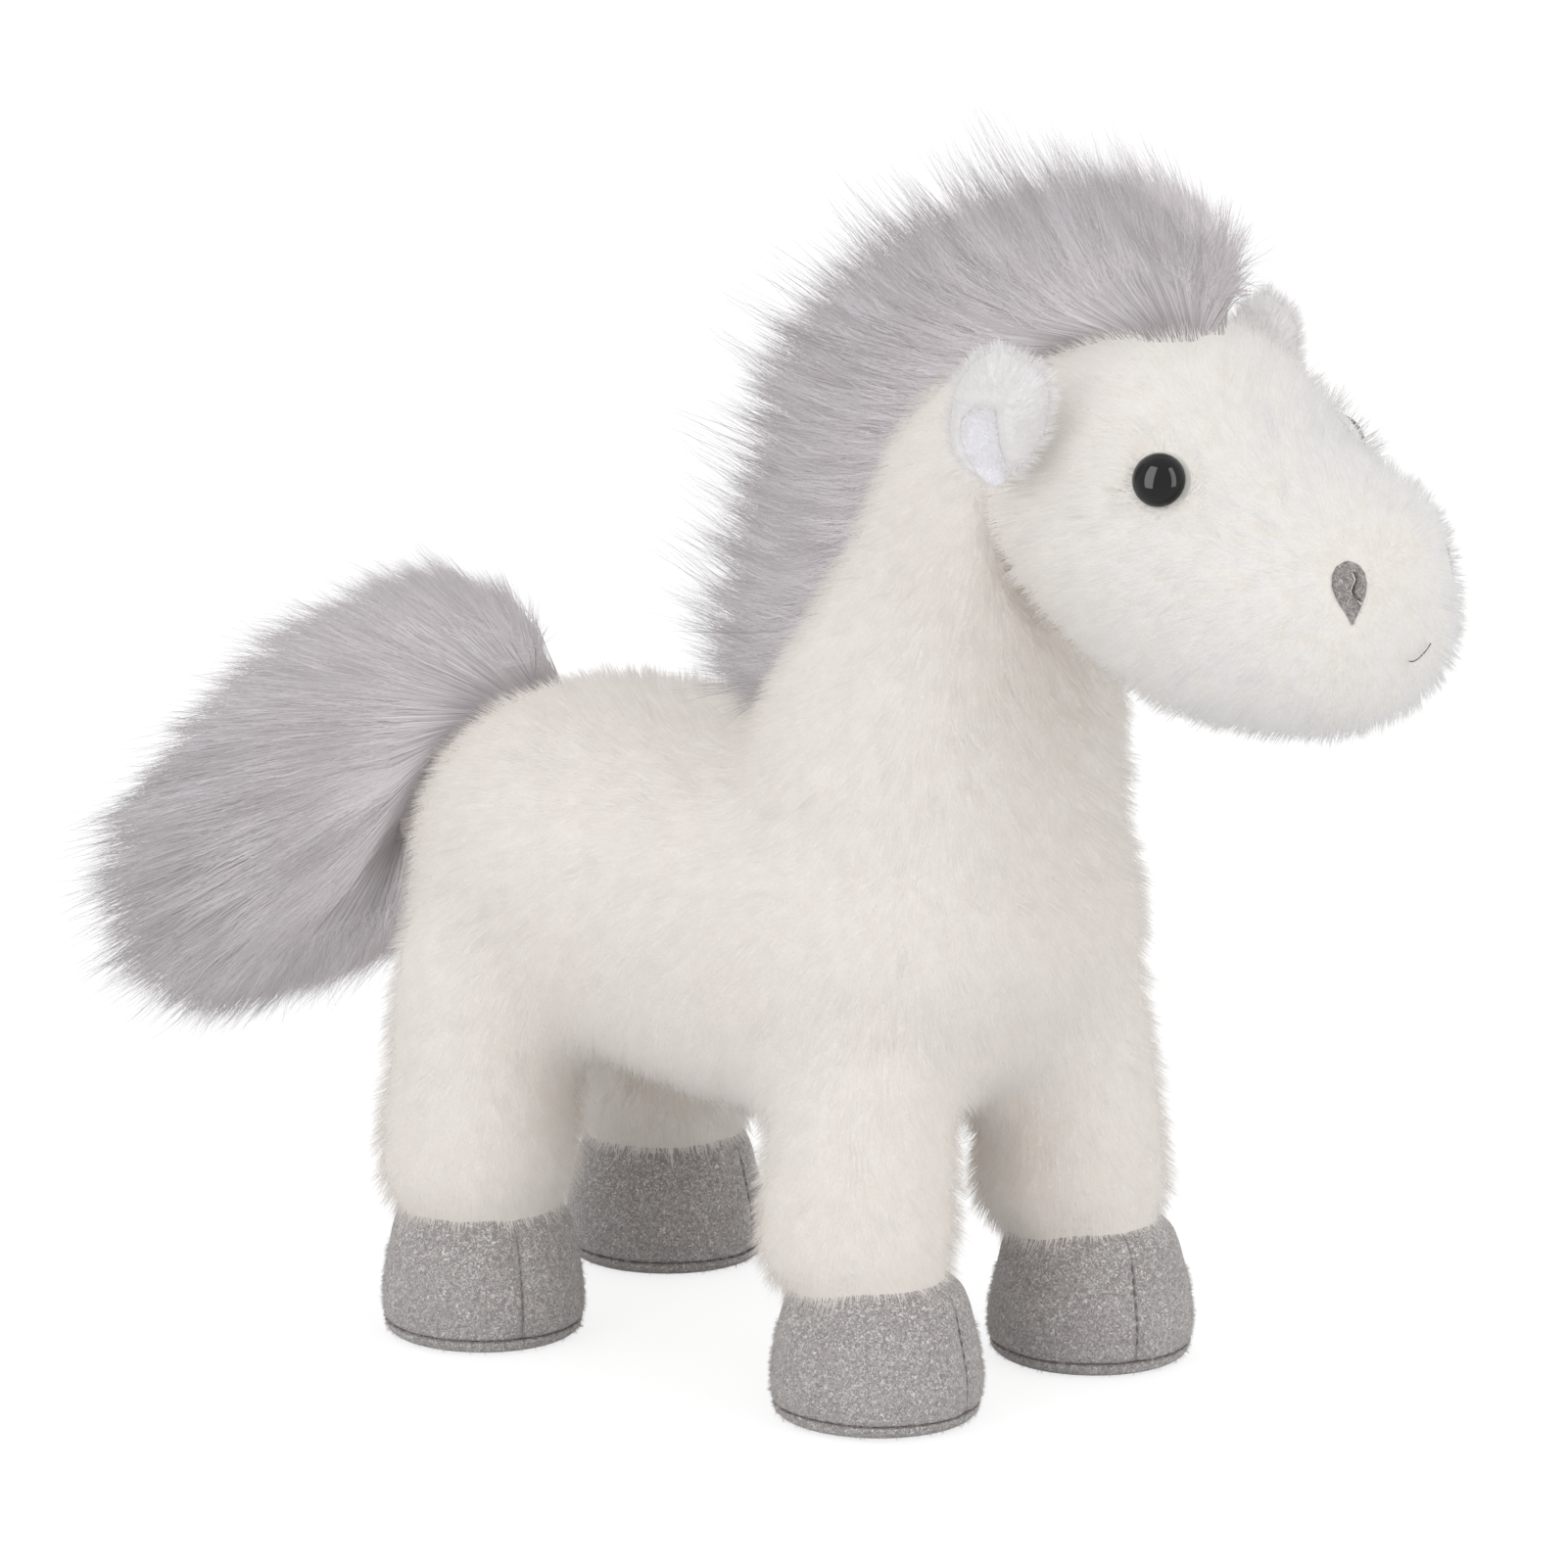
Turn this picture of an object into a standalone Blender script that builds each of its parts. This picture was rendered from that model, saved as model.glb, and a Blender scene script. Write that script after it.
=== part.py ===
# Plush horse, standing on four hooves, facing +X, with its right side towards -Y.
# Metres, +Z up. The floor is z = 0, and the middle of the whole box is x = 0, y = 0.
import math

import bmesh
import bpy
from mathutils import Matrix, Vector

# Clearance between pieces that touch, how far a cutter runs past what it cuts, and the
# distance at which two points are one
seam_gap = 0.0003
overrun = 0.0030
merge_distance = 0.000003

# Stance: where the hooves stand, from the middle of the stance
front_hoof_x = 0.0596
hind_hoof_x = -0.0642
front_hoof_y = 0.0355
hind_hoof_y = 0.0395
front_stagger = 0.0038
hind_stagger = 0.0048

# Hoof: suede wall in two panels, and a padded sole
hoof_length = 0.0485
hoof_width = 0.0470
hoof_height = 0.0340
hoof_top_length = 0.0410
hoof_top_width = 0.0390
suede_thickness = 0.0016
sole_thickness = 0.0055
sole_edge_radius = 0.0035

# Leg: plush sleeve that hangs over the hoof's top, swells and runs up into the torso, with
# a core that fills the hoof
hem_overlap = 0.0070
front_leg_rise = 0.0500
hind_leg_rise = 0.0540
front_leg_length = 0.0470
hind_leg_length = 0.0475
leg_width = 0.0480
leg_lean_in = 0.0040
front_leg_back = 0.0050
hind_leg_back = 0.0010
core_reach = 0.0100

# Torso
torso_rear_x = -0.0990
torso_length = 0.1870
torso_bottom_z = 0.0580
torso_height = 0.0940
torso_width = 0.1180

# Neck, which starts inside the torso and ends inside the head
neck_base_x = 0.0430
neck_top_x = 0.0780
neck_base_z = 0.1000
neck_top_z = 0.2500
neck_base_length = 0.0980
neck_width = 0.1060

# Head
head_rear_x = 0.0740
head_length = 0.1070
head_bottom_z = 0.1635
head_height = 0.0930
head_width = 0.0900

# Mane: long-pile strip from the withers over the neck and the poll, which ends over the
# forehead and stands up above the head
mane_base_x = -0.0050
mane_base_z = 0.1560
mane_over_head = 0.0610
mane_crest = 0.0305
mane_depth = 0.0600
mane_width = 0.0420

# Tail: long-pile brush hinged at the seam on the rump
tail_root_x = -0.0775
tail_length = 0.1260
tail_drop = 0.0900
tail_thickness = 0.0760
tail_width = 0.0700

# Ear: folded leaf of plush with a smooth lining, hinged at its sewn edge. Places on the
# head count from its rear, its front and its lowest point.
ear_from_rear = 0.0270
ear_base_up = 0.0605
ear_height = 0.0290
ear_width = 0.0290
ear_depth = 0.0090
ear_shell_thickness = 0.0036
ear_lining_thickness = 0.0012
ear_bead_radius = 0.0024
ear_bead_length = 0.0100

# Eye: domed safety eye on a shank, held by a washer inside the head
eye_from_rear = 0.0612
eye_up = 0.0635
eye_radius = 0.0060
eye_height = 0.0046
eye_seat_depth = 0.0012
eye_rim = 0.0008
shank_radius = 0.0020
shank_length = 0.0130
shank_chamfer = 0.0007
washer_radius = 0.0068
washer_thickness = 0.0014
washer_depth = 0.0045

# Nostril patch and mouth stitch
nostril_from_front = 0.0053
nostril_up = 0.0410
nostril_height = 0.0160
nostril_width = 0.0098
patch_thickness = 0.0010
plug_reach = 0.0150
mouth_up = 0.0230
mouth_width = 0.0120
mouth_sag = 0.0012
thread_thickness = 0.0009

# Each row is one station of a form, in shares of that form's own sizes, and the last two
# shares are its half height or length and its half width.
# along, middle, half tall, half wide
torso_shares = (
    (0.000, 0.470, 0.000, 0.000),
    (0.035, 0.515, 0.250, 0.235),
    (0.130, 0.555, 0.415, 0.385),
    (0.290, 0.550, 0.455, 0.480),
    (0.480, 0.505, 0.485, 0.478),
    (0.680, 0.500, 0.500, 0.494),
    (0.850, 0.530, 0.450, 0.470),
    (0.962, 0.560, 0.290, 0.320),
    (1.000, 0.590, 0.000, 0.000),
)
# up, shift of the middle between base and top, half long, half wide
neck_shares = (
    (0.000, 0.000, 0.000, 0.000),
    (0.080, 0.060, 0.310, 0.320),
    (0.230, 0.100, 0.440, 0.470),
    (0.390, 0.130, 0.420, 0.465),
    (0.540, 0.380, 0.360, 0.425),
    (0.700, 0.680, 0.320, 0.390),
    (0.860, 0.880, 0.290, 0.345),
    (0.970, 0.990, 0.160, 0.190),
    (1.000, 1.000, 0.000, 0.000),
)
# along, middle, half tall, half wide
head_shares = (
    (0.000, 0.600, 0.000, 0.000),
    (0.050, 0.600, 0.235, 0.270),
    (0.180, 0.570, 0.400, 0.440),
    (0.350, 0.520, 0.490, 0.498),
    (0.520, 0.485, 0.485, 0.496),
    (0.680, 0.420, 0.415, 0.450),
    (0.830, 0.360, 0.335, 0.390),
    (0.955, 0.350, 0.220, 0.250),
    (1.000, 0.380, 0.000, 0.000),
)
# up, lean inwards, half long, half wide
leg_shares = (
    (0.000, 0.000, 0.000, 0.000),
    (0.030, 0.000, 0.360, 0.360),
    (0.130, 0.050, 0.500, 0.500),
    (0.300, 0.200, 0.500, 0.495),
    (0.500, 0.500, 0.505, 0.490),
    (0.720, 0.900, 0.530, 0.480),
    (0.930, 1.300, 0.400, 0.360),
    (1.000, 1.400, 0.000, 0.000),
)
# up, blend from the bottom outline to the top one, shift towards the toe
hoof_shares = (
    (0.000, 0.000, 0.000),
    (0.180, -0.060, 0.006),
    (0.420, 0.090, 0.014),
    (0.700, 0.480, 0.006),
    (1.000, 1.000, -0.010),
)
# along, up, turn of the ring from upright towards the back in degrees, half deep, half wide
mane_shares = (
    (0.000, 0.000, 84.0, 0.000, 0.000),
    (0.010, 0.030, 84.0, 0.205, 0.250),
    (0.056, 0.167, 83.0, 0.414, 0.420),
    (0.126, 0.351, 79.4, 0.465, 0.490),
    (0.206, 0.514, 75.0, 0.473, 0.500),
    (0.315, 0.647, 69.8, 0.460, 0.500),
    (0.444, 0.748, 59.9, 0.441, 0.500),
    (0.581, 0.812, 47.5, 0.414, 0.500),
    (0.707, 0.850, 32.9, 0.385, 0.470),
    (0.820, 0.862, 20.0, 0.340, 0.400),
    (0.905, 0.845, 14.0, 0.230, 0.270),
    (0.940, 0.820, 10.0, 0.000, 0.000),
)
# back, down, turn of the ring from upright towards the tip in degrees, half thick, half wide
tail_shares = (
    (0.000, 0.000, 0.0, 0.000, 0.000),
    (0.075, -0.045, 20.0, 0.160, 0.230),
    (0.225, 0.040, 28.0, 0.360, 0.400),
    (0.400, 0.220, 37.0, 0.490, 0.480),
    (0.590, 0.470, 44.0, 0.510, 0.500),
    (0.770, 0.725, 46.0, 0.460, 0.460),
    (0.915, 0.930, 46.0, 0.290, 0.300),
    (0.965, 1.010, 46.0, 0.000, 0.000),
)
# up, lean back, half wide, how far the edges fold outwards
ear_shares = (
    (0.000, 0.000, 0.200, 0.380),
    (0.180, 0.005, 0.340, 0.750),
    (0.400, 0.000, 0.470, 1.000),
    (0.640, -0.015, 0.500, 0.900),
    (0.840, -0.025, 0.420, 0.560),
    (0.960, -0.030, 0.250, 0.220),
    (1.000, -0.030, 0.110, 0.080),
)
# outline of the nostril patch: across, up
nostril_shares = (
    (0.00, -0.50),
    (0.26, -0.27),
    (0.45, 0.02),
    (0.47, 0.26),
    (0.30, 0.45),
    (0.02, 0.50),
    (-0.28, 0.44),
    (-0.46, 0.24),
    (-0.44, 0.00),
    (-0.24, -0.26),
)

# Which way each toe seam points, in degrees from straight ahead, turned to the left
toe_turns = {
    "front_right": 8.0,
    "front_left": -26.0,
    "hind_right": -26.0,
    "hind_left": 10.0,
}

# Points and steps of the meshes, the angle past which an edge stays sharp, and how square
# the sewn forms are, where 2 is a true oval
ring_points = 20
head_ring_points = 24
brush_ring_points = 16
rings_per_station = 2
round_points = 24
small_round_points = 16
sole_edge_steps = 3
dome_steps = 6
mouth_steps = 8
ear_columns = 6
ear_rows = 8
sharp_angle = 40.0
oval_power = 2.0
sewn_power = 2.25


def clear_scene():
    for old in list(bpy.data.objects):
        bpy.data.objects.remove(old, do_unlink=True)


def make_material(name, colour, roughness):
    material = bpy.data.materials.new(name)
    material.use_nodes = True
    shader = material.node_tree.nodes["Principled BSDF"]
    shader.inputs["Base Color"].default_value = (*colour, 1.0)
    shader.inputs["Roughness"].default_value = roughness
    shader.inputs["Metallic"].default_value = 0.0
    return material


def finish(name, bm, material=None):
    """Turns the bmesh into a named object, with its faces pointing outwards."""
    bmesh.ops.recalc_face_normals(bm, faces=bm.faces)
    if bm.calc_volume(signed=True) < 0:
        bmesh.ops.reverse_faces(bm, faces=bm.faces)
    mesh = bpy.data.meshes.new(name)
    bm.to_mesh(mesh)
    bm.free()
    piece = bpy.data.objects.new(name, mesh)
    bpy.context.scene.collection.objects.link(piece)
    if material:
        mesh.materials.append(material)
        mesh.shade_smooth()
        mesh.set_sharp_from_angle(angle=math.radians(sharp_angle))
    else:
        piece.hide_render = True
        piece.display_type = "WIRE"
    return piece


def between(rows, place):
    """A smooth value of a table at a place that counts from its first row."""
    first = min(int(place), len(rows) - 2)
    share = place - first

    def row(index):
        if index < 0:
            return tuple(rows[1][:-2]) + tuple(-value for value in rows[1][-2:])
        if index >= len(rows):
            return tuple(rows[-2][:-2]) + tuple(-value for value in rows[-2][-2:])
        return rows[index]

    blend = []
    for a, b, c, d in zip(row(first - 1), row(first), row(first + 1), row(first + 2)):
        rise = (c - a) / 2
        fall = (d - b) / 2
        step = c - b
        blend.append(
            b
            + rise * share
            + (3 * step - 2 * rise - fall) * share**2
            + (rise + fall - 2 * step) * share**3
        )
    return blend


def rounded(value, power):
    return math.copysign(abs(value) ** (2 / power), value)


def stuffed_form(name, rows, ring, points, material, power=sewn_power):
    """A ball whose latitudes follow the rows. ring gives a row's middle and two half axes."""
    bm = bmesh.new()
    rings = (len(rows) - 1) * rings_per_station
    bmesh.ops.create_uvsphere(bm, u_segments=points, v_segments=rings, radius=1)
    for vert in bm.verts:
        height = max(-1.0, min(1.0, vert.co.z))
        place = math.acos(height) / math.pi * (len(rows) - 1)
        middle, tall, wide = ring(between(rows, place))
        around = math.atan2(vert.co.y, vert.co.x)
        across = rounded(math.cos(around), power)
        aside = rounded(math.sin(around), power)
        vert.co = middle + tall * across + wide * aside
    return finish(name, bm, material)


def grown(source, name, amount):
    """A hidden copy of a form with its surface moved out, to cut its neighbours with."""
    bm = bmesh.new()
    bm.from_mesh(source.data)
    bm.normal_update()
    moves = [(vert, vert.co + vert.normal * amount) for vert in bm.verts]
    for vert, place in moves:
        vert.co = place
    cutter = finish(name, bm)
    cutter.parent = source.parent
    return cutter


def combine(piece, other, operation):
    boolean = piece.modifiers.new(f"{operation.lower()} {other.name}", "BOOLEAN")
    boolean.object = other
    boolean.operation = operation
    boolean.solver = "EXACT"


def surface_point(form, x, z, side):
    """Where a form's own surface lies at x and z, on the side that y's sign gives."""
    start = Vector((x, side * head_width, z))
    found, place, normal, _ = form.ray_cast(start, Vector((0, -side, 0)))
    if not found:
        raise ValueError(f"no surface of {form.name} at x {x:.4f}, z {z:.4f}")
    return place, normal


def facing(place, normal, up=Vector((0, 0, 1))):
    """A frame at place whose z axis is the normal and whose y axis leans to up."""
    z_axis = normal.normalized()
    x_axis = up.cross(z_axis).normalized()
    y_axis = z_axis.cross(x_axis)
    turn = Matrix((x_axis, y_axis, z_axis)).transposed()
    return Matrix.Translation(place) @ turn.to_4x4()


def turned_profile(name, profile, points, material=None):
    """A closed solid of revolution about z, from a profile that starts and ends on the axis."""
    bm = bmesh.new()
    verts = [bm.verts.new((radius, 0, height)) for radius, height in profile]
    edges = [bm.edges.new(pair) for pair in zip(verts, verts[1:])]
    bmesh.ops.spin(
        bm,
        geom=verts + edges,
        cent=(0, 0, 0),
        axis=(0, 0, 1),
        angle=2 * math.pi,
        steps=points,
        use_merge=True,
    )
    bmesh.ops.remove_doubles(bm, verts=bm.verts, dist=merge_distance)
    return finish(name, bm, material)


def turned_ring(name, profile, points, material):
    """A ring about z, from a closed profile that stays clear of the axis."""
    bm = bmesh.new()
    verts = [bm.verts.new((radius, 0, height)) for radius, height in profile]
    edges = [bm.edges.new(pair) for pair in zip(verts, verts[1:] + verts[:1])]
    bmesh.ops.spin(
        bm,
        geom=verts + edges,
        cent=(0, 0, 0),
        axis=(0, 0, 1),
        angle=2 * math.pi,
        steps=points,
        use_merge=True,
    )
    return finish(name, bm, material)


def oval_block(name, outlines, points, material=None):
    """A closed stack of ovals, each as height, half long, half wide and middle x."""
    bm = bmesh.new()
    rings = []
    for height, long, wide, shift in outlines:
        made = bmesh.ops.create_circle(bm, cap_ends=False, radius=1, segments=points)
        for vert in made["verts"]:
            vert.co = Vector((shift + vert.co.x * long, vert.co.y * wide, height))
        rings.append(made["verts"])
    for lower, upper in zip(rings, rings[1:]):
        edges = [e for e in bm.edges if set(e.verts) <= set(lower) or set(e.verts) <= set(upper)]
        bmesh.ops.bridge_loops(bm, edges=edges)
    bm.faces.new(rings[0])
    bm.faces.new(rings[-1])
    return finish(name, bm, material)


def make_torso(material):
    def ring(row):
        along, middle, tall, wide = row
        centre = Vector(
            (torso_rear_x + along * torso_length, 0, torso_bottom_z + middle * torso_height)
        )
        return centre, Vector((0, 0, tall * torso_height)), Vector((0, wide * torso_width, 0))

    return stuffed_form("torso", torso_shares, ring, ring_points, material)


def make_neck(material):
    def ring(row):
        up, shift, long, wide = row
        centre = Vector(
            (
                neck_base_x + shift * (neck_top_x - neck_base_x),
                0,
                neck_base_z + up * (neck_top_z - neck_base_z),
            )
        )
        return centre, Vector((long * neck_base_length, 0, 0)), Vector((0, wide * neck_width, 0))

    return stuffed_form("neck", neck_shares, ring, ring_points, material)


def make_head(material):
    def ring(row):
        along, middle, tall, wide = row
        centre = Vector(
            (head_rear_x + along * head_length, 0, head_bottom_z + middle * head_height)
        )
        return centre, Vector((0, 0, tall * head_height)), Vector((0, wide * head_width, 0))

    return stuffed_form("head", head_shares, ring, head_ring_points, material)


def brush(name, rows, start, size, depth, width, material):
    """A long-pile form along a curved line, from a table of places and ring turns."""

    def ring(row):
        along, up, turn, deep, wide = row
        centre = Vector((start[0] + along * size[0], 0, start[1] + up * size[1]))
        lean = math.radians(turn)
        upright = Vector((-math.sin(lean), 0, math.cos(lean)))
        return centre, upright * deep * depth, Vector((0, wide * width, 0))

    return stuffed_form(name, rows, ring, brush_ring_points, material, oval_power)


def make_mane(material):
    start = (mane_base_x, mane_base_z)
    front_x = head_rear_x + mane_over_head
    top_z = head_bottom_z + head_height + mane_crest
    size = (front_x - mane_base_x, top_z - mane_base_z)
    return brush("mane", mane_shares, start, size, mane_depth, mane_width, material)


def make_tail(torso, material):
    """The tail starts at its hinge, on the top of the rump."""
    above = Vector((tail_root_x, 0, torso_bottom_z + torso_height + overrun))
    _, place, _, _ = torso.ray_cast(above, Vector((0, 0, -1)))
    root = place + Vector((0, 0, seam_gap))
    size = (-tail_length, -tail_drop)
    start = (root.x, root.z)
    tail = brush("tail", tail_shares, start, size, tail_thickness, tail_width, material)
    set_origin(tail, root)
    return tail


def hoof_outline(share, extra=0):
    """Half length and half width of a hoof, from its bottom outline to its top one."""
    long = hoof_length + share * (hoof_top_length - hoof_length)
    wide = hoof_width + share * (hoof_top_width - hoof_width)
    return long / 2 + extra, wide / 2 + extra


def hoof_stack(extra, below, above):
    """The outlines of a hoof wall moved out by extra, run on straight below and above it."""
    wall_height = hoof_height - sole_thickness
    rows = []
    for up, share, shift in hoof_shares:
        long, wide = hoof_outline(share, extra)
        rows.append((sole_thickness + up * wall_height, long, wide, shift * hoof_length))
    if below > 0:
        rows.insert(0, (sole_thickness - below, *rows[0][1:]))
    else:
        rows[0] = (sole_thickness - below, *rows[0][1:])
    if above > 0:
        rows.append((hoof_height + above, *rows[-1][1:]))
    return rows


def make_leg(side, place, torso_space, material):
    x, y, turn = place
    outward = math.copysign(1, y)
    front = side.startswith("front")
    hem_z = hoof_height - hem_overlap
    top_z = torso_bottom_z + (front_leg_rise if front else hind_leg_rise)
    length = front_leg_length if front else hind_leg_length
    back = front_leg_back if front else hind_leg_back

    def ring(row):
        up, lean, long, wide = row
        centre = Vector(
            (x - back, y - outward * lean * leg_lean_in, hem_z + up * (top_z - hem_z))
        )
        return centre, Vector((long * length, 0, 0)), Vector((0, wide * leg_width, 0))

    leg = stuffed_form(f"leg_{side}", leg_shares, ring, ring_points, material, oval_power)
    where = Matrix.Translation((x, y, 0)) @ Matrix.Rotation(math.radians(turn), 4, "Z")
    over_hoof = oval_block(
        f"hoof space {side}",
        hoof_stack(seam_gap, 0, seam_gap),
        round_points,
    )
    over_hoof.matrix_world = where
    core = oval_block(
        f"core {side}",
        hoof_stack(-suede_thickness - seam_gap, -seam_gap, core_reach),
        round_points,
    )
    core.matrix_world = where
    combine(leg, torso_space, "DIFFERENCE")
    combine(leg, over_hoof, "DIFFERENCE")
    combine(leg, core, "UNION")
    return leg


def make_hoof(side, place, material):
    x, y, turn = place
    where = Matrix.Translation((x, y, 0)) @ Matrix.Rotation(math.radians(turn), 4, "Z")
    hollow = oval_block(
        f"hoof hollow {side}",
        hoof_stack(-suede_thickness, overrun, overrun),
        round_points,
    )
    hollow.matrix_world = where
    for panel, way in (("left", 1), ("right", -1)):
        wall = oval_block(
            f"hoof_{side}_{panel}_panel",
            hoof_stack(0, -seam_gap, 0),
            round_points,
            material,
        )
        wall.matrix_world = where
        bm = bmesh.new()
        bmesh.ops.create_cube(bm, size=1)
        size = (hoof_length + 2 * overrun, hoof_width + 2 * overrun, hoof_height + 2 * overrun)
        bmesh.ops.scale(bm, vec=size, verts=bm.verts)
        aside = (size[1] - seam_gap) / 2
        bmesh.ops.translate(bm, vec=(0, -way * aside, hoof_height / 2), verts=bm.verts)
        other_half = finish(f"panel cutter {side} {panel}", bm)
        other_half.matrix_world = where
        combine(wall, hollow, "DIFFERENCE")
        combine(wall, other_half, "DIFFERENCE")
    make_sole(side, where, material)


def make_sole(side, where, material):
    long, wide = hoof_outline(hoof_shares[0][1])
    sole = oval_block(
        f"sole_{side}",
        [(0, long, wide, 0), (sole_thickness, long, wide, 0)],
        round_points,
        material,
    )
    sole.matrix_world = where
    bm = bmesh.new()
    bm.from_mesh(sole.data)
    rim = [e for e in bm.edges if all(v.co.z < sole_thickness / 2 for v in e.verts)]
    bmesh.ops.bevel(
        bm,
        geom=rim,
        offset=sole_edge_radius,
        offset_type="OFFSET",
        affect="EDGES",
        segments=sole_edge_steps,
        profile=0.5,
        material=-1,
    )
    bm.to_mesh(sole.data)
    bm.free()
    return sole


def make_eye(side, head, material, washer_material):
    """The eye's frame stands on the head's surface, with z pointing outwards."""
    x = head_rear_x + eye_from_rear
    place, normal = surface_point(head, x, head_bottom_z + eye_up, side)
    where = facing(place, normal)
    name = "right" if side < 0 else "left"
    seat = -eye_seat_depth
    dome = [
        (
            eye_radius * math.cos(step / dome_steps * math.pi / 2),
            seat + eye_rim + eye_height * math.sin(step / dome_steps * math.pi / 2),
        )
        for step in range(1, dome_steps)
    ]
    tip = seat - shank_length
    profile = (
        [(0, tip), (shank_radius - shank_chamfer, tip), (shank_radius, tip + shank_chamfer)]
        + [(shank_radius, seat), (eye_radius, seat), (eye_radius, seat + eye_rim)]
        + dome
        + [(0, seat + eye_rim + eye_height)]
    )
    eye = turned_profile(f"eye_{name}", profile, small_round_points, material)
    eye.matrix_world = where

    hole = shank_radius + seam_gap
    low = seat - washer_depth - washer_thickness
    high = seat - washer_depth
    washer = turned_ring(
        f"eye_washer_{name}",
        [(hole, low), (washer_radius, low), (washer_radius, high), (hole, high)],
        small_round_points,
        washer_material,
    )
    washer.matrix_world = where

    pocket_radius = washer_radius + seam_gap
    mouth = eye_radius + seam_gap
    top = eye_height + overrun
    pocket = turned_profile(
        f"eye pocket {name}",
        [
            (0, tip - seam_gap),
            (hole, tip - seam_gap),
            (hole, low - seam_gap),
            (pocket_radius, low - seam_gap),
            (pocket_radius, high + seam_gap),
            (hole, high + seam_gap),
            (hole, seat - seam_gap),
            (mouth, seat - seam_gap),
            (mouth, top),
            (0, top),
        ],
        small_round_points,
    )
    pocket.matrix_world = where
    combine(head, pocket, "DIFFERENCE")


def flat_patch(name, outline, place, normal, lower, upper, material):
    """A thin piece that follows the head's surface, cut from a plug with the given outline."""
    bm = bmesh.new()
    verts = [bm.verts.new((across, up, -plug_reach)) for across, up in outline]
    face = bm.faces.new(verts)
    made = bmesh.ops.extrude_face_region(bm, geom=[face])
    moved = [item for item in made["geom"] if isinstance(item, bmesh.types.BMVert)]
    bmesh.ops.translate(bm, vec=(0, 0, 2 * plug_reach), verts=moved)
    patch = finish(name, bm, material)
    patch.matrix_world = facing(place, normal)
    combine(patch, upper, "INTERSECT")
    combine(patch, lower, "DIFFERENCE")
    return patch


def make_nostril(side, head, lower, upper, material):
    x = head_rear_x + head_length - nostril_from_front
    place, normal = surface_point(head, x, head_bottom_z + nostril_up, side)
    outline = [
        (-side * across * nostril_width, up * nostril_height) for across, up in nostril_shares
    ]
    name = "nostril_right" if side < 0 else "nostril_left"
    return flat_patch(name, outline, place, normal, lower, upper, material)


def make_mouth(head, lower, upper, material):
    """One short stitch across the front of the muzzle, lowest in the middle."""
    start = Vector((head_rear_x + head_length + overrun, 0, head_bottom_z + mouth_up))
    _, place, normal, _ = head.ray_cast(start, Vector((-1, 0, 0)))
    arc = []
    for step in range(mouth_steps + 1):
        share = 2 * step / mouth_steps - 1
        arc.append((share * mouth_width / 2, mouth_sag * share**2))
    half = thread_thickness / 2
    outline = [(x, y - half) for x, y in arc] + [(x, y + half) for x, y in reversed(arc)]
    return flat_patch("mouth_stitch", outline, place, normal, lower, upper, material)


def ear_sheet(side, inset):
    """The ear's middle surface as a grid: up in z, forwards in x, its edges folded outwards."""
    bm = bmesh.new()
    bmesh.ops.create_grid(bm, x_segments=ear_columns, y_segments=ear_rows, size=1)
    for vert in bm.verts:
        across = vert.co.x
        up, lean, wide, fold = between_plain(ear_shares, (vert.co.y + 1) / 2)
        vert.co = Vector(
            (
                lean * ear_height + across * wide * ear_width,
                side * fold * ear_depth * across**2,
                up * ear_height,
            )
        )
        vert.tag = inset and (abs(across) > 1 - 1 / ear_columns or up > ear_shares[-2][0])
    bmesh.ops.delete(bm, geom=[vert for vert in bm.verts if vert.tag], context="VERTS")
    return bm


def between_plain(rows, share):
    """A straight blend between the rows of a table, whose ends are at shares 0 and 1."""
    place = share * (len(rows) - 1)
    first = min(int(place), len(rows) - 2)
    part = place - first
    return [a + (b - a) * part for a, b in zip(rows[first], rows[first + 1])]


def thicken(bm, start, thickness, inwards):
    """Moves a sheet off its own surface by start, then gives it its thickness that way."""
    bm.normal_update()
    if sum((face.normal for face in bm.faces), Vector()).dot(inwards) < 0:
        bmesh.ops.reverse_faces(bm, faces=bm.faces)
        bm.normal_update()
    near = [(vert, vert.co + vert.normal * start) for vert in bm.verts]
    outer = [(vert, vert.co + vert.normal * (start + thickness)) for vert in bm.verts]
    far = {}
    for vert, place in outer:
        far[vert] = bm.verts.new(place)
    for vert, place in near:
        vert.co = place
    faces = list(bm.faces)
    rim = [edge for edge in bm.edges if edge.is_boundary]
    for face in faces:
        bm.faces.new([far[vert] for vert in reversed(face.verts)])
    for edge in rim:
        a, b = edge.verts
        bm.faces.new((a, b, far[b], far[a]))


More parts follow.
